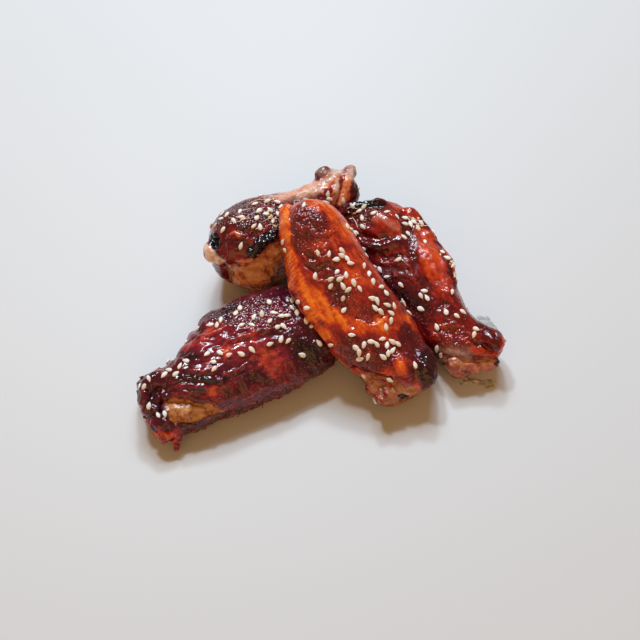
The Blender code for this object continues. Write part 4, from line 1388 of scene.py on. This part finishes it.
crumbs = Pile()
for x, y, many, wide in ((466, 379, 9, 6.0), (476, 380, 10, 6.0), (485, 383, 6, 3.0)):
    for _ in range(many):
        u0, v0 = x + rng.normal(0, wide), y + rng.normal(0, 1.3)
        place = np.array((AIM[0] + (u0 - 320) * UNIT, AIM[1] - (v0 - 320) * UNIT / 0.819, 0.0))
        size = (rng.uniform(0.7, 2.4), rng.uniform(0.4, 0.9), rng.uniform(0.3, 0.6))
        points = lump(size, 0.35, rng.uniform(-0.5, 0.5))
        crumbs.add(points + place + (0, 0, size[2] * 0.42), BALL_QUADS, tone=rng.uniform(0, 1))
crumbs.make("crumbs", scatter("crumbs", [(0.0, (0.26, 0.21, 0.13)), (0.5, (0.52, 0.45, 0.32)), (1.0, (0.78, 0.72, 0.60))]))

smear = Pile()
for u0, v0, wide, tall, turn in ((486, 322, 6.0, 2.6, -0.6), (492, 328, 5.0, 2.6, -0.8), (497, 333, 2.6, 1.6, -0.9), (481, 318, 3.0, 1.6, -0.3), (488, 318, 2.2, 1.0, -0.9)):
    place = np.array((AIM[0] + (u0 - 320) * UNIT, AIM[1] - (v0 - 320) * UNIT / 0.819, 0.0))
    ball = BALL * (1 + 0.30 * noise(BALL, 0.8, int(u0))[:, None]) * np.array((wide / 2, tall / 2, 0.20))
    ball[:, 2] = np.maximum(ball[:, 2], -0.02)
    c, k = math.cos(turn), math.sin(turn)
    smear.add(np.stack([ball[:, 0] * c - ball[:, 1] * k, ball[:, 0] * k + ball[:, 1] * c, ball[:, 2] + 0.04], axis=1) + place, BALL_QUADS, tone=0.5)
oily = scatter("oily_smear", [(0.0, (0.50, 0.52, 0.50)), (1.0, (0.74, 0.76, 0.74))])
oily.node_tree.nodes["Principled BSDF"].inputs["Alpha"].default_value = 0.42
smear.make("oily_smear", oily)

hairs = Pile()
for u0, v0, drop, lean in ((240, 411, 2.3, -0.7), (243, 408, 1.5, -1.0), (262, 402, 2.2, 0.1), (257, 402, 1.0, -0.4), (312, 372, 1.4, 0.3), (304, 378, 0.9, -0.3), (286, 389, 1.0, 0.4), (229, 411, 1.0, -0.2)):
    found = on_skin(u0, v0) or on_skin(u0, v0 - 3) or on_skin(u0, v0 - 6)
    if found is None:
        continue
    place, normal = found
    down = np.array((lean * 0.5, -0.75, -0.55)) * drop
    tip = place + down
    tip[2] = max(tip[2], 0.15)
    hairs.add(*thread([place - down * 0.3, place, (place + tip) / 2 + (0.15, 0, 0.1), tip], (0.34, 0.28, 0.16, 0.06)), tone=rng.uniform(0, 0.8))
hairs.make("burnt_hairs", scatter("burnt_hairs", [(0.0, (0.010, 0.005, 0.006)), (1.0, (0.10, 0.020, 0.012))]))

strands = Pile()
for line in (
    [(408, 216), (414, 220), (421, 221), (427, 219)], [(412, 222), (419, 226), (426, 226), (431, 223)],
    [(350, 203), (354, 208), (358, 209)], [(347, 209), (353, 206), (359, 203)],
    [(352, 217), (356, 222), (358, 228)], [(236, 214), (244, 210), (252, 209)],
    [(262, 222), (270, 218), (279, 219)], [(250, 232), (258, 228), (266, 229)],
    [(248, 205), (257, 200), (267, 200)], [(270, 224), (276, 226), (282, 223)],
):
    found = [on_skin(*at) for at in line]
    found = [k for k in found if k is not None]
    if len(found) < 2:
        continue
    held = [place + normal * 0.14 for place, normal in found]
    if len(held) < len(line):
        held.append(held[-1] + (held[-1] - held[-2]) * 0.5 + (0, 0, 0.3))
    size = rng.uniform(0.13, 0.20)
    strands.add(*thread(held, [size * 0.5] + [size] * (len(held) - 2) + [size * 0.4]), tone=rng.uniform(0.3, 1))
strands.make("pale_strands", scatter("pale_strands", [(0.0, (0.80, 0.58, 0.40)), (1.0, (0.95, 0.88, 0.78))]))


# ------------------------------------------------------------------- stage
def area_light(name, place, look_at, size, power, colour, spread=None):
    data = bpy.data.lights.new(name, "AREA")
    data.shape = "RECTANGLE"
    data.size, data.size_y = size
    data.energy = power
    data.color = colour
    if spread:
        data.spread = math.radians(spread)
    thing = bpy.data.objects.new(name, data)
    thing.location = place
    thing.rotation_euler = (Vector(look_at) - Vector(place)).to_track_quat("-Z", "Y").to_euler()
    bpy.context.scene.collection.objects.link(thing)
    return thing


floor = make_object("floor", np.array([(-3000, -3000, 0), (3000, -3000, 0), (3000, 3000, 0), (-3000, 3000, 0)], float), [(0, 1, 2, 3)], {}, floor_finish())

area_light("window", (-0.05, 1.00, 1.28), (0.0, 0.0, 0.0), (0.84, 0.58), 15.6, (0.65, 0.835, 1.0))
area_light("glint_left", (-0.31, 0.67, 1.18), (0.0, 0.0, 0.0), (0.14, 0.11), 4.6, (0.90, 0.97, 1.0))
area_light("glint_back", (-0.03, 0.98, 0.98), (0.0, 0.0, 0.0), (0.14, 0.11), 4.0, (0.90, 0.97, 1.0))
area_light("fill", (-0.17, -1.50, 0.90), (0.0, 0.0, 0.0), (2.40, 1.20), 8.8, (1.0, 0.57, 0.22))

world = bpy.data.worlds.new("studio")
world.use_nodes = True
world.node_tree.nodes["Background"].inputs["Color"].default_value = (1.0, 0.58, 0.27, 1.0)
world.node_tree.nodes["Background"].inputs["Strength"].default_value = 0.27
bpy.context.scene.world = world

camera_data = bpy.data.cameras.new("camera")
camera_data.sensor_width = 36.0
camera_data.lens = 36.0 * DISTANCE / (640 * UNIT)
camera_data.clip_start = 0.01
camera = bpy.data.objects.new("camera", camera_data)
camera.location = Vector(EYE * MM)
camera.rotation_euler = Vector(FORWARD).to_track_quat("-Z", "Y").to_euler()
bpy.context.scene.collection.objects.link(camera)
bpy.context.scene.camera = camera
bpy.context.scene.view_settings.view_transform = "Standard"

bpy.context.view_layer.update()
print("scene took", round(time.time() - STARTED, 1), "s")
